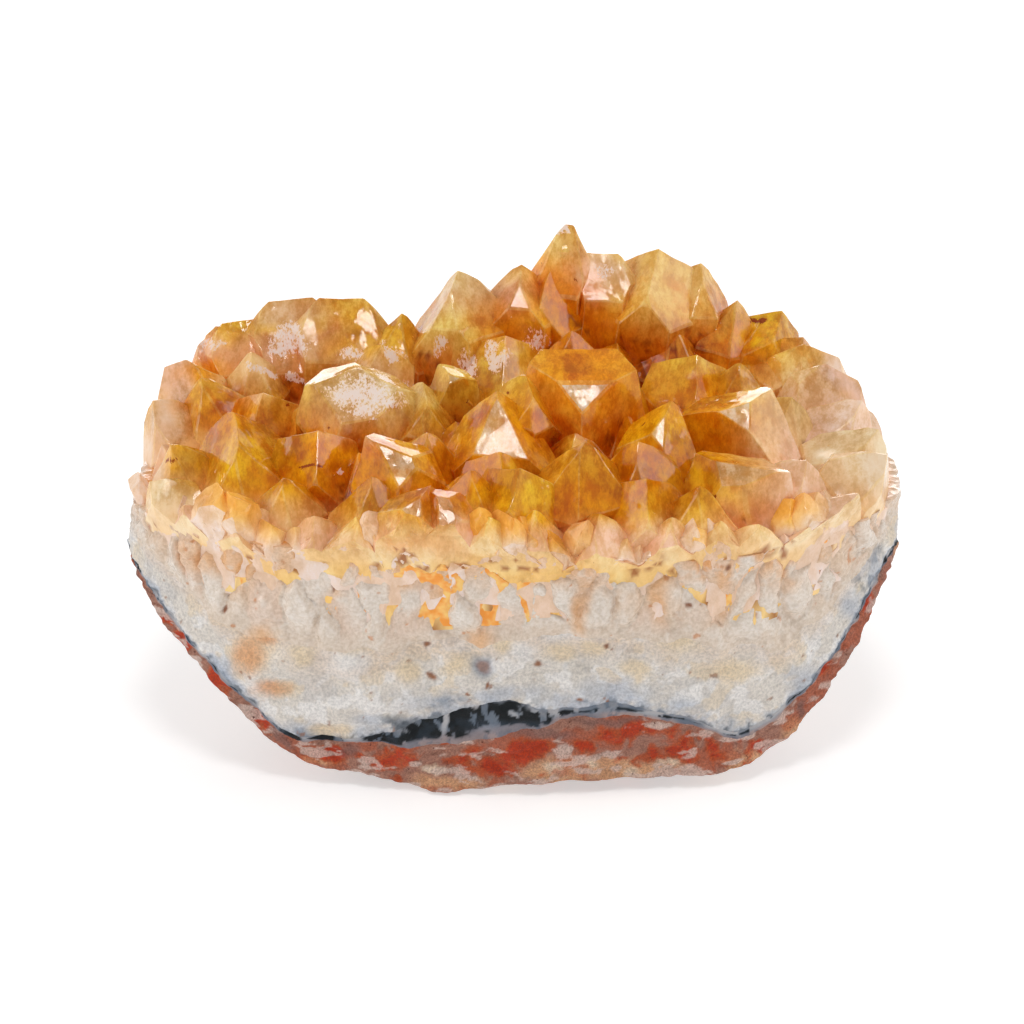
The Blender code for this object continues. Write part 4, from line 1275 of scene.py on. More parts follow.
def rootColours(points, run, rise, wall):
    # milky at the foot, peach and amber towards the crystals, each block in its own tone, with shade painted
    # into the creases between blocks and painted light on the blocks between them
    c = rootsLook["colours"]
    px, py, front = frontPixels(points, 8.0, 123)
    near, second, owner = rootColumns(points, run)
    coarse = fractalNoise(points, 4.0, 4, 125)
    fine = fractalNoise(points, 1.1, 4, 127)
    up = rise + 0.18 * coarse
    ends = np.abs(points[..., 0])
    low = smooth(rise / 0.3)
    gap = second - near
    return tinted(c["milk"], [
        (c["peach"], 0.5 + 0.5 * smooth((up - 0.05) / 0.5)),
        (c["rose"], smooth((0.45 - owner) / 0.2) * 0.6 * low),
        (c["snow"], smooth((owner - 0.62) / 0.2) * 0.7 * low),
        (c["amber"], smooth((up - 0.45) / 0.45) * 0.7 * smooth((38 - ends) / rootsLook["endsFade"])),
        (c["deep"], smooth((up - 0.8) / 0.3) * 0.5 * front * smooth((36 - ends) / rootsLook["endsFade"])),
        # painted shade: a warmer, darker line along the creases between blocks
        (c["peach"], smooth((0.3 - gap) / 0.3) * smooth((up - 0.1) / 0.3) * 0.5),
        (c["snow"], smooth((fine - 0.3) / 0.4) * 0.45 * (1 - smooth((rise - 0.98) / 0.02))),
        (c["amber"], front * marked(px, py, rootsLook["amber"], 0.8) * 0.7),
        (c["snow"], front * marked(px, py, rootsLook["snow"], 0.6) * 0.8),
        # painted light: the blocks away from the creases are made paler
        (c["snow"], smooth((gap - 0.3) / 0.3) * low * 0.2),
        (c["speck"], front * marked(px, py, rootsLook["specks"], 0.5)),
        (c["rust"], patches(points, 0.9, 2, 129, 0.9, 0.15) * 0.7),
        (c["deep"], 0.85 * (1 - wall)),
    ])


def rootQuartz():
    material, tree, shader, where = startMaterial("peach root quartz", 0.3, 1.544)
    grain = noise(tree, where, 0.35, 3, 0.6)
    flow = noise(tree, where, 1.1, 3, 0.6)
    colour = toned(tree, band(tree, grain, 0.3, 0.7), (0.76, 0.73, 0.68), (0.94, 0.95, 0.96))
    tree.links.new(colour, shader.inputs["Base Color"])
    tree.links.new(band(tree, flow, 0.35, 0.65, 0.1, 0.42), shader.inputs["Roughness"])
    tree.links.new(bump(tree, cells(tree, where, 1.1), 0.2, 0.6), shader.inputs["Normal"])
    return material


def buildLayer(name, low, look, colours, material, node):
    # the layer between one level of the rim and the next
    grid, wall, rise, run = layerShell(low, low + 1, look)
    points, faces = closeShell(grid)
    piece = makePiece(name, points, faces, material, (node,))
    piece.data.set_sharp_from_angle(angle=math.radians(50))
    paint(piece, "tint", withPoles(np.clip(colours(grid, run, rise, wall), 0, 1)))


# The crystals' glass, and the cloud inside each

glassLook = {
    "edge": 1.1, "cloudEdge": 2.5,  # mm, the longest edges of the finished skins
    "chamfer": (0.03, 0.07), "smallChamfer": 0.02,  # mm
    "uneven": ((4.0, 0.16), (1.3, 0.05)),  # size and height in mm of the unevenness of the faces
    "sharpFrom": 13,  # degrees between two faces from which the edge between them shades as an edge
    "absorb": (0.99, 0.72, 0.06), "density": 132.0,  # per metre
    "cloudInset": 1.5, "cloudDrop": 2.6,  # mm that the cloud stays from the sides, and its tip below the tip
    "clear": 0.56,  # share of light that goes through a clear face
    "tone": 0.1,  # how much one crystal differs from the next
    "edgeSheenAndWear": 0.25,  # how much paler the chamfered edges are painted: partly painted highlight, partly wear
    "lowTo": 32.0, "lowFade": 3.5, "milkTo": 33.0, "milkFade": 5.0,  # mm up: peach and milky feet
    "gaps": {"cell": 1.2, "start": 1.2, "depth": 4.5, "blurs": 2},  # mm: how the gaps are found
    "gapShadeHalf": 34.5, "gapShadeMiddle": -2.0,  # mm from this x where the painted shade in the gaps has faded out
    "colours": {
        "amber": (255, 197, 66), "deep": (255, 158, 8), "gold": (255, 186, 24), "pale": (246, 208, 126),
        # the burnt deep orange is also painted as shade into the gaps between crystals
        "peach": (246, 204, 170), "white": (242, 216, 202), "rose": (228, 188, 154), "burnt": (232, 118, 6),
        # edge is the paler paint of the chamfers, partly painted highlight and partly wear
        "edge": (252, 214, 140), "frost": (240, 226, 222), "iron": (150, 66, 16), "milk": (240, 214, 204),
        # mirror is the colour of the painted reflection on the measured faces
        "mirror": (246, 222, 198),
    },
    # how much painted reflection, in the light's own colour, goes onto each measured face
    "mirror": {"shine": 0.85, "sail": 0.6, "kite": 0.6, "frost": 0.3, "spark": 0.9, "band": 0.45},
    "otherMirrors": 0.5,
    # photograph pixels, as on the rind
    "deep": [
        (590, 360, 60, 62), (500, 312, 36, 32), (565, 292, 42, 34), (460, 480, 60, 50), (520, 430, 40, 40),
        (350, 450, 70, 44), (300, 490, 40, 26), (700, 425, 46, 46), (220, 420, 50, 30), (640, 440, 40, 50),
        (576, 500, 30, 30), (200, 370, 40, 20),
    ],
    "burnt": [
        (215, 350, 34, 12), (268, 352, 12, 16), (330, 335, 12, 18), (150, 360, 20, 12), (560, 300, 30, 16),
        (440, 300, 20, 16), (740, 350, 24, 14), (330, 440, 50, 16), (560, 430, 30, 14), (500, 300, 24, 12),
        (300, 470, 40, 12), (640, 470, 18, 24), (215, 400, 36, 12), (700, 380, 26, 10), (478, 424, 22, 10),
    ],
    "gold": [
        (245, 480, 56, 50), (600, 500, 70, 40), (670, 460, 50, 40), (770, 350, 50, 46), (330, 335, 28, 40),
        (410, 350, 24, 30), (740, 500, 60, 40), (540, 520, 80, 24), (640, 320, 40, 30),
    ],
    "pale": [
        (672, 282, 56, 44), (860, 420, 40, 60), (800, 400, 40, 50), (560, 240, 22, 26), (440, 340, 24, 30),
    ],
    "peach": [
        (830, 480, 70, 90), (770, 545, 90, 34), (420, 545, 300, 22), (240, 530, 110, 26), (600, 545, 200, 20),
        (250, 365, 30, 24), (200, 345, 30, 14),
    ],
    "white": [
        (840, 470, 60, 90, 0, 0.55), (158, 440, 16, 110, 8), (885, 470, 26, 90, -6), (850, 540, 50, 30),
        (160, 520, 50, 30), (845, 380, 12, 60, -35),
    ],
    "rose": [
        (600, 270, 28, 24), (466, 285, 62, 28), (290, 310, 36, 18), (365, 395, 54, 36), (300, 345, 34, 26),
    ],
    "frosted": [
        (365, 395, 46, 28), (290, 340, 26, 20), (348, 352, 14, 10), (262, 372, 22, 8, 30), (205, 341, 24, 7),
        (470, 362, 12, 20, -30), (496, 356, 14, 22, -30), (534, 338, 16, 16), (604, 275, 14, 14),
        (562, 226, 7, 8), (300, 380, 12, 8), (392, 350, 16, 10), (440, 345, 10, 14), (340, 470, 8, 4),
    ],
    "iron": [
        (312, 467, 22, 3), (508, 392, 3, 3), (545, 418, 3, 3), (555, 437, 3, 3), (697, 425, 3, 3),
        (645, 423, 3, 3), (469, 400, 3, 3), (330, 430, 3, 3), (288, 404, 3, 3), (673, 475, 4, 3),
        (213, 328, 4, 3), (488, 490, 4, 3), (715, 498, 4, 3), (757, 320, 16, 3, 4), (575, 282, 3, 3),
        (169, 460, 9, 4, 10), (765, 322, 20, 2.5, 4),
    ],
}


def sunkShare(points):
    # 0 at the tips to 1 in the gaps: how far each point lies under the blurred height of the tallest round it.
    #                                 It sets where shade is painted into the gaps, and where iron specks gather
    gaps = glassLook["gaps"]
    place = np.floor((points[:, :2] - points[:, :2].min(axis=0)) / gaps["cell"]).astype(int) + 2
    top = np.full(place.max(axis=0) + 3, points[:, 2].min())
    np.maximum.at(top, (place[:, 0], place[:, 1]), points[:, 2])
    for _ in range(gaps["blurs"]):
        wide = np.pad(top, 1, mode="edge")
        shifts = [wide[i:i + top.shape[0], j:j + top.shape[1]] for i in range(3) for j in range(3)]
        top = 0.5 * sum(shifts) / 9 + 0.5 * np.maximum.reduce(shifts)
    return smooth((top[place[:, 0], place[:, 1]] - points[:, 2] - gaps["start"]) / gaps["depth"])


def mirrorShare(points, faces, owner):
    # how much painted reflection each triangle gets: only those on the flat faces measured in the photograph do
    a, b, c = points[faces.T]
    normal = np.cross(b - a, c - a)
    normal /= np.linalg.norm(normal, axis=1)[:, None] + 1e-12
    share = np.zeros(len(faces))
    for number, facet in enumerate(facetsSeen):
        own = owner.astype(int) == len(crystalsSeen) + number
        level = normal @ facetUp(facet[3], facet[4]) > 0.98
        share[own & level] = glassLook["mirror"].get(facet[0], glassLook["otherMirrors"])
    return share


def glassColours(points, faces, owner, count):
    # a colour for each corner of each face: places in the photograph first, painted shade in the gaps, then each
    # crystal's own tone, painted reflections on the measured faces, and paler edges, partly painted highlight
    # and partly wear
    look = glassLook
    c = look["colours"]
    px, py = pixelOf(points)
    px = px + 12 * fractalNoise(points, 3.0, 3, 131)
    py = py + 9 * fractalNoise(points, 3.0, 3, 133)
    coarse = fractalNoise(points, 5.0, 3, 135)
    fine = fractalNoise(points, 1.6, 3, 137)
    low = smooth((look["lowTo"] - points[:, 2] + coarse) / look["lowFade"])
    sunk = sunkShare(points)
    inner = smooth((look["gapShadeHalf"] - np.abs(points[:, 0] - look["gapShadeMiddle"])) / 8)
    colour = tinted(c["amber"], [
        (c["pale"], smooth((coarse - 0.1) / 0.4) * 0.4),
        (c["deep"], marked(px, py, look["deep"], 0.7) * 0.9),
        (c["gold"], marked(px, py, look["gold"], 0.7) * 0.8),
        (c["burnt"], marked(px, py, look["burnt"], 0.7) * smooth((fine + 0.3) / 0.5) * 0.7),
        (c["pale"], marked(px, py, look["pale"], 0.8) * 0.85),
        (c["peach"], marked(px, py, look["peach"], 0.8) * 0.8),
        (c["rose"], marked(px, py, look["rose"], 0.7) * 0.75),
        (c["white"], marked(px, py, look["white"], 0.8) * 0.8),
        # painted shade: deep orange laid into the gaps between crystals, fading out towards the ends and the
        # feet
        (c["burnt"], sunk * inner * (1 - low) * 0.8),
        (c["peach"], low * 0.6),
        (c["iron"], smooth((sunk - 0.55) / 0.2) * patches(points, 1.0, 3, 155, 0.42, 0.12) * 0.8),
    ])
    rng = np.random.default_rng(17)
    tone = rng.uniform(-1, 1, count)[:, None] * np.array([0.4, 0.9, 1.3])
    warmth = rng.uniform(-1, 1, count)[:, None] * np.array([0.0, 0.6, -1.0])
    each = 1 + look["tone"] * tone + look["tone"] * warmth
    body = owner.astype(int)
    # the chamfers are painted paler: partly a painted highlight along the edges, partly wear
    edge = (owner - body > 0.25)[:, None, None] * look["edgeSheenAndWear"]
    corners = colour[faces] * each[body][:, None, :]
    # painted reflection: the measured faces take the light's colour, broken into streaks
    reflectionStreaks = 1 + 0.5 * fractalNoise(points * (1.6, 1.6, 0.5), 0.9, 4, 139)[faces]
    shine = np.clip(mirrorShare(points, faces, owner)[:, None] * reflectionStreaks, 0, 1)
    corners += (asLinear(c["mirror"]) - corners) * shine[..., None]
    return corners + (asLinear(c["edge"]) - corners) * edge


def citrineGlass():
    # plain transmission and absorption; frost, veils, rust specks and milky feet let less through
    material, tree, shader, where = startMaterial("citrine", 0.05, 1.544)
    c = glassLook["colours"]
    stretch = tree.nodes.new("ShaderNodeMapping")
    stretch.inputs["Rotation"].default_value = (0.3, 0.5, 0.4)
    stretch.inputs["Scale"].default_value = (1.0, 0.6, 0.55)
    tree.links.new(where, stretch.inputs["Vector"])
    drawn = stretch.outputs["Vector"]
    shader.inputs["Specular IOR Level"].default_value = 0.18
    drift = attribute(tree, "drift")
    milk = attribute(tree, "milk")
    mottle = noise(tree, where, 1.4, 3, 0.7)
    frost = added(tree, noise(tree, drawn, 0.22, 2, 0.75), times(tree, mottle, 0.8), attribute(tree, "frost"))
    torn = band(tree, frost, 1.48, 1.7)
    veils = band(tree, noise(tree, drawn, 1.1, 3, 0.75), 0.36, 0.64)
    specks = noise(tree, where, 0.3, 2, 0.85)
    strong = sums(tree, "SUBTRACT", 1.0, times(tree, milk, 0.8))
    colour = toned(tree, drift, (1.0, 0.93, 0.8), (1.0, 1.06, 1.1))
    colour = toned(tree, veils, (0.97, 0.81, 0.48), (1.05, 1.12, 1.22), colour, strong)
    crumbs = band(tree, specks, 0.32, 0.68)
    colour = toned(tree, crumbs, (0.96, 0.9, 0.74), (1.06, 1.12, 1.22), colour, strong)
    colour = blend(tree, times(tree, torn, 0.8), colour, full(c["frost"]))
    rust = band(tree, added(tree, times(tree, specks, 0.9), attribute(tree, "iron")), 0.95, 1.1)
    iron = sums(tree, "MAXIMUM", rust, band(tree, specks, 0.77, 0.81))
    tree.links.new(blend(tree, iron, colour, full(c["iron"])), shader.inputs["Base Color"])
    cloud = added(tree, times(tree, drift, 0.14), times(tree, milk, 0.34), times(tree, torn, 0.5), iron,
                  times(tree, veils, 0.12))
    through = sums(tree, "SUBTRACT", glassLook["clear"], cloud)
    tree.links.new(band(tree, through, 0.0, 1.0), shader.inputs["Transmission Weight"])
    worn = band(tree, mottle, 0.4, 0.7, 0.03, 0.12)
    rough = added(tree, worn, times(tree, torn, 0.4), times(tree, milk, 0.12))
    tree.links.new(rough, shader.inputs["Roughness"])
    tree.links.new(bump(tree, noise(tree, drawn, 1.0, 1, 0.45), 0.05, 0.6), shader.inputs["Normal"])
    absorb = tree.nodes.new("ShaderNodeVolumeAbsorption")
    absorb.inputs["Color"].default_value = (*glassLook["absorb"], 1)
    absorb.inputs["Density"].default_value = glassLook["density"]
    tree.links.new(absorb.outputs["Volume"], tree.nodes["Material Output"].inputs["Volume"])
    return material


wallTear = {
    "depth": 0.45, "cell": 1.9, "near": 1.4, "fade": 1.2,  # mm
    "tall": 1.3, "small": (0.45, 0.55), "smallShare": 0.35,  # shares of the cell and of the depth
    "ends": 36.0, "endsFade": 3.0,  # mm from the middle where it has died out
}


def roughWall(points):
    # pushes in and out what lies on the broken wall: depth * (how near a cell's rim - how near its middle)
    x, y, z = points.T
    reach = np.hypot(x, y)
    rim = rimRows(72)
    leaned = leanFront(np.column_stack([rim[:, :2], np.full(len(rim), 30.0)]))
    leans = np.hypot(leaned[:, 0], leaned[:, 1]) - np.hypot(rim[:, 0], rim[:, 1])
    bearing = np.arctan2(y, x)
    lean = np.interp(bearing, np.arctan2(rim[:, 1], rim[:, 0]), leans, period=2 * math.pi)
    outside = reach - rimReach(x, y) - lean * np.clip((z - 10) / 20, 0, 1.5)
    share = smooth((outside + wallTear["near"]) / wallTear["fade"])
    cell = wallTear["cell"]
    run = bearing * 30 + 0.4 * fractalNoise(points, 2.2, 2, 181)
    rise = z / (wallTear["tall"] * cell) + 0.2 * fractalNoise(points, 2.6, 2, 183)
    near, second, owner = cellNoise(run / cell, rise, 185)
    along, upward = wallTear["small"]
    small, smallEdge, _ = cellNoise(run / (along * cell), z / (upward * cell), 187)
    push = np.minimum(second - near, 0.6) + 0.5 * owner - 0.6
    push = wallTear["depth"] * (push + wallTear["smallShare"] * (smallEdge - small - 0.4))
    push *= smooth((wallTear["ends"] - np.abs(x)) / wallTear["endsFade"])
    moved = points.copy()
    moved[:, :2] += points[:, :2] / (reach[:, None] + 1e-9) * (push * share)[:, None]
    return moved


def finishSkin(name, points, faces, material, tint, values, uneven, seed):
    points = roughWall(points) + warped(points, uneven, seed)
    piece = makePiece(name, points, faces, material, ("citrine_crystals",), values)
    piece.data.set_sharp_from_angle(angle=math.radians(glassLook["sharpFrom"]))
    paint(piece, "tint", np.clip(tint, 0, 1), "CORNER")


def buildCrystals(material):
    large = largeCrystals()
    small = satelliteCrystals(large)
    rng = np.random.default_rng(3)
    bodies = [chamfered(crystal[0], rng.uniform(*glassLook["chamfer"])) for crystal in large]
    bodies += [chamfered(planes, glassLook["smallChamfer"]) for planes in small]
    points, faces, owner = joinedSkin(bodies, rimKnife())
    print("joined", len(bodies), "crystals:", len(faces), "triangles")
    points, faces, owner = refined(points, faces, owner, glassLook["edge"])
    plainX, plainY = pixelOf(points)
    px = plainX + 7 * fractalNoise(points, 2.0, 4, 141)
    py = plainY + 7 * fractalNoise(points, 2.0, 4, 143)
    ironed = marked((px + plainX) / 2, (py + plainY) / 2, glassLook["iron"], 0.7)
    foot = (glassLook["milkTo"] - points[:, 2] + fractalNoise(points, 3.0, 3, 147)) / glassLook["milkFade"]
    pales = (("white", 1.0), ("peach", 0.75), ("rose", 0.5), ("pale", 0.35))
    milky = [share * marked(px, py, glassLook[name], 0.8) for name, share in pales]
    frosted = 0.75 * marked(px, py, glassLook["frosted"], 0.6)
    values = {
        "frost": frosted + 0.2 * patches(points, 5.0, 3, 145, 0.3, 0.4), "iron": 0.8 * ironed,
        "drift": patches(points, 3.2, 2, 149, -0.25, 0.6), "milk": np.maximum.reduce([smooth(foot), *milky]),
    }
    tint = glassColours(points, faces, owner, len(bodies))
    finishSkin("citrine_points", points, faces, material, tint, values, glassLook["uneven"], 151)
    return large


edgePoints = {
    "seed": 29, "step": 1.9, "around": 230.0,  # mm along the rim from one to the next, and all the way round
    "frontDensity": 1.6,
    "width": (3.0, 7.5), "narrowed": (0.6, 1.0), "tips": (-2.0, 5.5), "stand": (-0.1, 0.5),
    "length": (5.0, 9.0), "shortest": 1.2, "aboveBed": 0.8, "inward": 0.42,  # mm, and a share of the width
    "sideDrop": 2.0, "sides": (30.0, 8.0),  # mm that tips are lower near the ends, from where, over how much
    "lean": (-6, 22), "sway": 16.0,  # degrees outwards, and either way along the rim
    "knife": (-0.9, -0.8, -0.7, -0.25, 0.45, 0.8, 1.0, 1.0, 1.0),  # as knifeLook's stand
    "chamfer": 0.05, "edge": 0.8, "uneven": ((2.5, 0.12), (0.9, 0.03)),
    "seenLevel": 28.0,  # mm, the height at which a pixel's place along the rim is found
    "whitest": 0.95,
    # photograph pixels of those that stand out clear and white, and the width of each in mm
    "seen": [
        (402, 538, 3.6), (425, 545, 3.0), (515, 548, 3.4), (690, 524, 3.2), (810, 522, 2.8), (470, 556, 2.6),
        (345, 545, 3.4), (620, 562, 3.8), (372, 575, 4.6), (512, 578, 4.4), (745, 556, 3.0), (560, 556, 3.2),
        (305, 548, 2.8), (655, 545, 2.8), (775, 540, 3.0), (250, 556, 3.0),
    ],
}


def edgeBodies():
    # small crystals side by side along the rim, then those seen in the photograph
    look = edgePoints
    rng = np.random.default_rng(look["seed"])
    rim, outward = evenRim(int(look["around"] / look["step"]), look["frontDensity"])
    spots = []
    for row, out in zip(rim, outward):
        tipHeight = row[6] + rng.uniform(*look["tips"])
        tipHeight -= look["sideDrop"] * smooth((abs(row[0]) - look["sides"][0]) / look["sides"][1])
        spots.append((row, out, tipHeight, rng.uniform(*look["width"]) * rng.uniform(*look["narrowed"])))
    level = look["seenLevel"]
    seenX, seenY = pixelOf(leanFront(np.column_stack([rim[:, :2], np.full(len(rim), level)])))
    for x, y, width in look["seen"]:
        nearest = int(np.argmin(np.where(rim[:, 1] < 0, np.abs(seenX - x), 1e9)))
        height = level + (seenY[nearest] - y) / (picture["pxPerMm"] * math.cos(tilt))
        spots.append((rim[nearest], outward[nearest], height, width))
    made = []
    for row, out, tipHeight, width in spots:
        lean = math.radians(rng.uniform(*look["lean"]))
        sway = math.radians(rng.uniform(-look["sway"], look["sway"]))
        along = np.array([-out[1], out[0], 0.0])
        away = np.array([out[0], out[1], 0.0])
        axis = away * math.tan(lean) + along * math.tan(sway) + np.array([0.0, 0.0, 1.0])
        axis /= np.linalg.norm(axis)
        place = leanFront(np.array([[row[0], row[1], tipHeight]]))[0]
        tip = place + away * (rng.uniform(*look["stand"]) - width * look["inward"])
        foot = max(tipHeight - rng.uniform(*look["length"]), row[5] + look["aboveBed"])
        spin = rng.uniform(0, 60)
        habit = commonHabits[int(rng.integers(len(commonHabits)))]
        if tipHeight - foot >= look["shortest"]:
            planes = crystalPlanes(tip, axis, width, spin, faceShares[habit], foot)
            made.append(chamfered(planes, look["chamfer"]))
    return made


def buildEdgePoints(material):
    bodies = edgeBodies()
    points, faces, owner = joinedSkin(bodies, rimKnife(edgePoints["knife"]))
    points, faces, owner = refined(points, faces, owner, edgePoints["edge"])
    c = glassLook["colours"]
    px, py, front = frontPixels(points, 8.0, 161)
    rng = np.random.default_rng(31)
    tone = rng.uniform(0, 1, len(bodies))
    tone[-len(edgePoints["seen"]):] = edgePoints["whitest"]
    tone = tone[owner.astype(int)]
    up = smooth((points[:, 2] - 25.0 + 1.2 * fractalNoise(points, 4.0, 3, 163)) / 8)
    inner = smooth((36 - np.abs(points[:, 0])) / rootsLook["endsFade"])
    colour = tinted(c["milk"], [
        (c["peach"], smooth(up / 0.5) * 0.7),
        (c["gold"], smooth((up - 0.4) / 0.5) * 0.75 * front * inner),
        (c["deep"], smooth((up - 0.8) / 0.2) * 0.4 * front * inner),
        (c["white"], front * marked(px, py, rootsLook["snow"], 0.6) * 0.6),
    ])[faces]
    colour += (asLinear(c["white"]) - colour) * (smooth((tone - 0.6) / 0.3) * 0.6)[:, None, None]
    colour += (asLinear(c["rose"]) - colour) * (smooth((0.3 - tone) / 0.3) * 0.4)[:, None, None]
    values = {
        "frost": 0.35 * patches(points, 2.5, 3, 165, 0.1, 0.4), "iron": np.zeros(len(points)),
        "drift": patches(points, 3.2, 2, 149, -0.25, 0.6), "milk": 1.0 - 0.35 * up,
    }
    finishSkin("pale_edge_points", points, faces, material, colour, values, edgePoints["uneven"], 167)


sealed = {
    "seed": 43, "tries": 4000, "each": 70,
    "spread": (0.6, 0.6, 0.9), "drop": 0.6,  # shares of the crystal's width round a place below its tip
    "under": (0.1, 1.2), "above": 30.0,  # mm below the faces, and above the table
    "size": (0.06, 0.4), "mostSmall": 2.5, "thick": 0.25,
    "inside": 0.9,  # share of the way out to the rim where they stop
    "corners": (0.0, 2.1, 4.2),  # radians
    "colours": {
        "gold": (255, 206, 96), "straw": (255, 232, 170), "rust": (150, 62, 14), "dark": (70, 34, 14),
    },
    "shares": (0.42, 0.7, 0.92),  # gold up to here, then straw, rust and dark
    "cloudDeep": (244, 150, 34), "cloudPale": (254, 206, 120),
}


def sealedFlakes(large):
    # flat slivers with four corners each, at places drawn inside the crystals close under their faces
    rng = np.random.default_rng(sealed["seed"])
    places = []
    for planes, tip, axis, width, _ in large:
        tries = tip + rng.uniform(-1, 1, (sealed["tries"], 3)) * np.array(sealed["spread"]) * width
        tries -= axis * width * sealed["drop"]
        deep = np.min(planes[:, 3] - tries @ planes[:, :3].T, axis=1)
        good = (deep > sealed["under"][0]) & (deep < sealed["under"][1]) & (tries[:, 2] > sealed["above"])
        x, y = tries[:, 0], tries[:, 1]
        good &= np.hypot(x, y) < rimReach(x, y) * sealed["inside"]
        places.append(tries[good][:sealed["each"]])
    middle = np.concatenate(places)
    count = len(middle)
    least, most = sealed["size"]
    size = rng.uniform(0, 1, count) ** sealed["mostSmall"] * (most - least) + least
    normal = rng.normal(size=(count, 3))
    normal /= np.linalg.norm(normal, axis=1)[:, None]
    across = np.cross(normal, rng.normal(size=(count, 3)))
    across /= np.linalg.norm(across, axis=1)[:, None]
    other = np.cross(normal, across)
    shape = rng.uniform(0.5, 1.0, (count, 3)) * size[:, None]
    ring = [middle + shape[:, k, None] * (math.cos(turn) * across + math.sin(turn) * other)
            for k, turn in enumerate(sealed["corners"])]
    top = middle + normal * (size * sealed["thick"])[:, None]
    points = np.stack(ring + [top], axis=1).reshape(-1, 3)
    first = 4 * np.arange(count)[:, None]
    faces = (first[:, None] + np.array([[0, 2, 1], [0, 1, 3], [1, 2, 3], [2, 0, 3]])[None]).reshape(-1, 3)
    kind = np.searchsorted(sealed["shares"], rng.uniform(0, 1, count))
    colours = np.array([asLinear(colour) for colour in sealed["colours"].values()])
    return points, faces, colours[kind].repeat(4, axis=0)


def flakeStone():
    material, tree, shader, where = startMaterial("sealed flakes", 0.25)
    colour = toned(tree, noise(tree, where, 0.2, 2), (0.8, 0.8, 0.8), (1.2, 1.2, 1.2))
    tree.links.new(colour, shader.inputs["Base Color"])
    return material


def buildFlakes(large):
    points, faces, colour = sealedFlakes(large)
    piece = makePiece("sealed_flakes", points, faces, flakeStone(), rounded=False)
    paint(piece, "tint", colour)


def cloudAmber():
    material, tree, shader, where = startMaterial("cloud in the citrine", 0.6, 1.544)
    drift = noise(tree, where, 1.5, 2, 0.6)
    colour = blend(tree, band(tree, drift, 0.35, 0.65), full(sealed["cloudDeep"]), full(sealed["cloudPale"]))
    tree.links.new(colour, shader.inputs["Base Color"])
    tree.links.new(band(tree, drift, 0.35, 0.65, 0.4, 0.7), shader.inputs["Roughness"])
    return material


def buildClouds(large):
    # each crystal's own planes, drawn in and let down, so that a milky core stands in the clear tip
    bodies = []
    for planes, tip, axis, _, _ in large:
        inner = planes.copy()
        inner[:, 3] -= glassLook["cloudInset"] + (inner[:, :3] @ axis) * glassLook["cloudDrop"]
        inner[-1] = planes[-1]
        if len(cornersOf(inner)) > 3:
            bodies.append((inner, len(inner)))
    points, faces, owner = joinedSkin(bodies, rimKnife())
    points, faces, owner = refined(points, faces, owner, glassLook["cloudEdge"])
    makePiece("citrine_clouds", points, faces, cloudAmber(), ("citrine_crystals",), rounded=False)


# Camera, light and floor

shot = {
    "sensor": 36.0,  # mm
    "lamps": {
        "overhead": {"direction": (0, -0.325, 0.944), "distance": 1.2, "size": 0.3, "radiance": 18.0},
        "behind": {"direction": (0, 0.96, 0.28), "distance": 1.3, "size": 0.9, "radiance": 3.6},
        "left": {"direction": (-0.88, -0.12, 0.46), "distance": 1.2, "size": 0.7, "radiance": 2.7},
        "right": {"direction": (0.88, 0.1, 0.46), "distance": 1.2, "size": 0.7, "radiance": 2.7},
    },
    "horizon": 1.0, "ceiling": 0.38, "fade": (0.12, 0.3),  # the room is white low down and dim above
    "glow": 0.5,  # the table is lit from below
    "floorSide": 6.0,  # metres, as the lamps' distances and sizes
}


def makeCamera():
    data = bpy.data.cameras.new("camera")
    data.sensor_width = shot["sensor"]
    data.lens = picture["pxPerMm"] * picture["distance"] / picture["side"] * shot["sensor"]
    data.shift_x = (picture["side"] / 2 - picture["centrePx"]) / picture["side"]
    data.clip_start = 0.01
    camera = bpy.data.objects.new("camera", data)
    camera.location = Vector((aim + centring - picture["distance"] * ahead) * mm)
    camera.rotation_euler = (math.radians(90) - tilt, 0, 0)
    scene.collection.objects.link(camera)
    scene.camera = camera


def softLight(name, direction, distance, size, radiance):
    # a round lamp of the given radiance; its power is radiance * pi * area
    data = bpy.data.lights.new(name, "AREA")
    data.shape = "DISK"
    data.size = size
    data.energy = radiance * math.pi * math.pi * (size / 2) ** 2
    lamp = bpy.data.objects.new(name, data)
    toLamp = Vector(direction).normalized()
    lamp.location = Vector((0, 0, 0.03)) + toLamp * distance
    lamp.rotation_euler = toLamp.to_track_quat("Z", "Y").to_euler()
    scene.collection.objects.link(lamp)


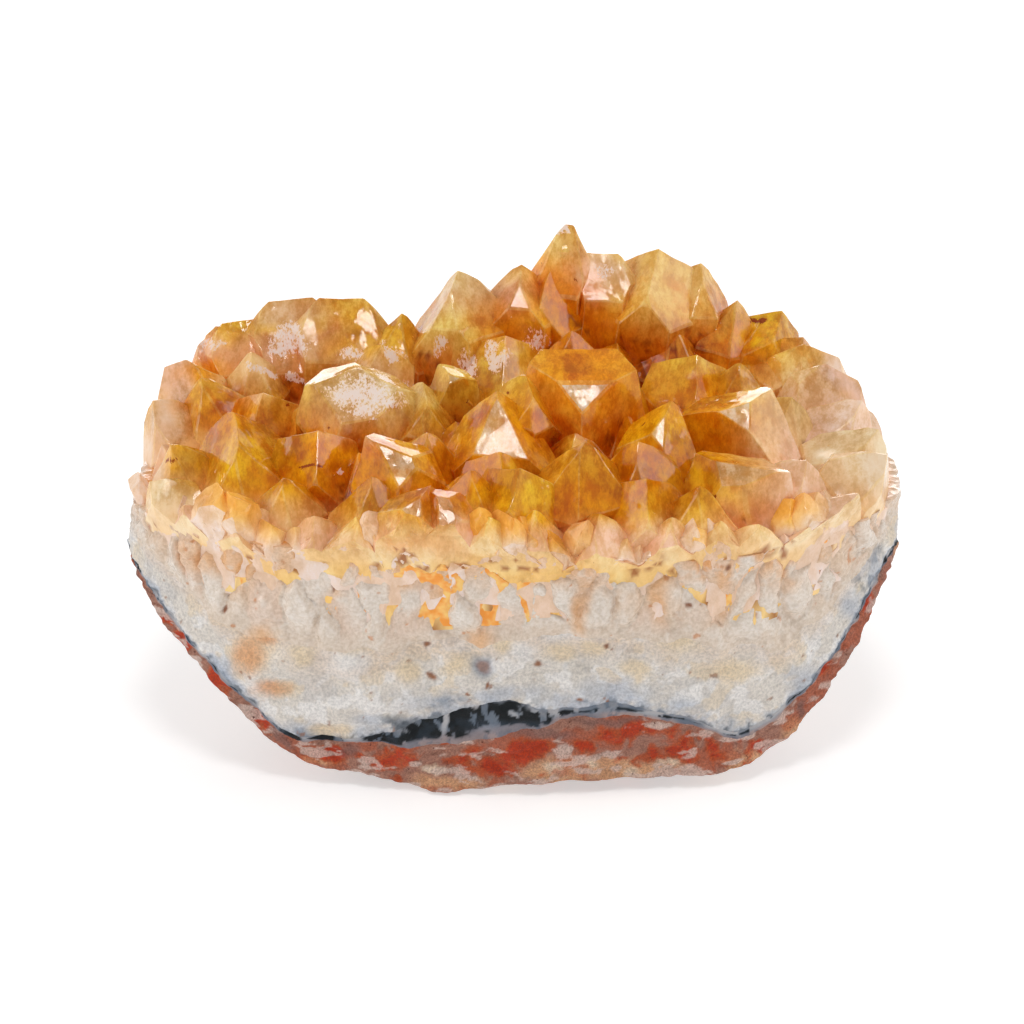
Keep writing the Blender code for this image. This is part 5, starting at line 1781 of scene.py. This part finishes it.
def makeFloor():
    half = shot["floorSide"] / 2
    mesh = bpy.data.meshes.new("floor")
    corners = [(-half, -half, 0), (half, -half, 0), (half, half, 0), (-half, half, 0)]
    mesh.from_pydata(corners, [], [(0, 1, 2, 3)])
    floor = bpy.data.objects.new("floor", mesh)
    scene.collection.objects.link(floor)
    material, tree, shader, where = startMaterial("white paper", 0.9)
    fibre = noise(tree, where, 6.0, 3)
    colour = blend(tree, fibre, (0.62, 0.62, 0.62, 1), (0.64, 0.64, 0.64, 1))
    tree.links.new(colour, shader.inputs["Base Color"])
    shader.inputs["Emission Color"].default_value = (1, 1, 1, 1)
    shader.inputs["Emission Strength"].default_value = shot["glow"]
    mesh.materials.append(material)


def makeWorld():
    world = bpy.data.worlds.new("studio")
    scene.world = world
    world.use_nodes = True
    tree = world.node_tree
    background = tree.nodes["Background"]
    background.inputs["Color"].default_value = (1, 1, 1, 1)
    direction = tree.nodes.new("ShaderNodeTexCoord").outputs["Generated"]
    parts = tree.nodes.new("ShaderNodeSeparateXYZ")
    tree.links.new(direction, parts.inputs["Vector"])
    strength = band(tree, parts.outputs["Z"], *shot["fade"], shot["horizon"], shot["ceiling"])
    tree.links.new(strength, background.inputs["Strength"])
    scene.view_settings.view_transform = "Standard"


makeCamera()
makeWorld()
makeFloor()
for lampName, lamp in shot["lamps"].items():
    softLight(lampName, **lamp)
print("studio ready")

rindLook["relief"] = rindRelief
rindLook["under"] = rindPits
seamLook["relief"] = seamRelief
bedLook["relief"] = bedRelief
rootsLook["relief"] = rootRelief
buildLayer("rind_of_basalt", 0, rindLook, rindColours, rindStone(), "basalt_rind")
buildLayer("dark_seam", 1, seamLook, seamColours, seamStone(), "celadonite_seam")
buildLayer("bed_of_milky_quartz", 2, bedLook, bedColours, milkyQuartz(), "milky_quartz_bed")
buildLayer("peach_roots", 3, rootsLook, rootColours, rootQuartz(), "citrine_crystals")
print("layers ready")
glass = citrineGlass()
largeOnes = buildCrystals(glass)
buildEdgePoints(glass)
buildClouds(largeOnes)
buildFlakes(largeOnes)
print("crystals ready")

for piece in pieces:
    piece.data.validate()
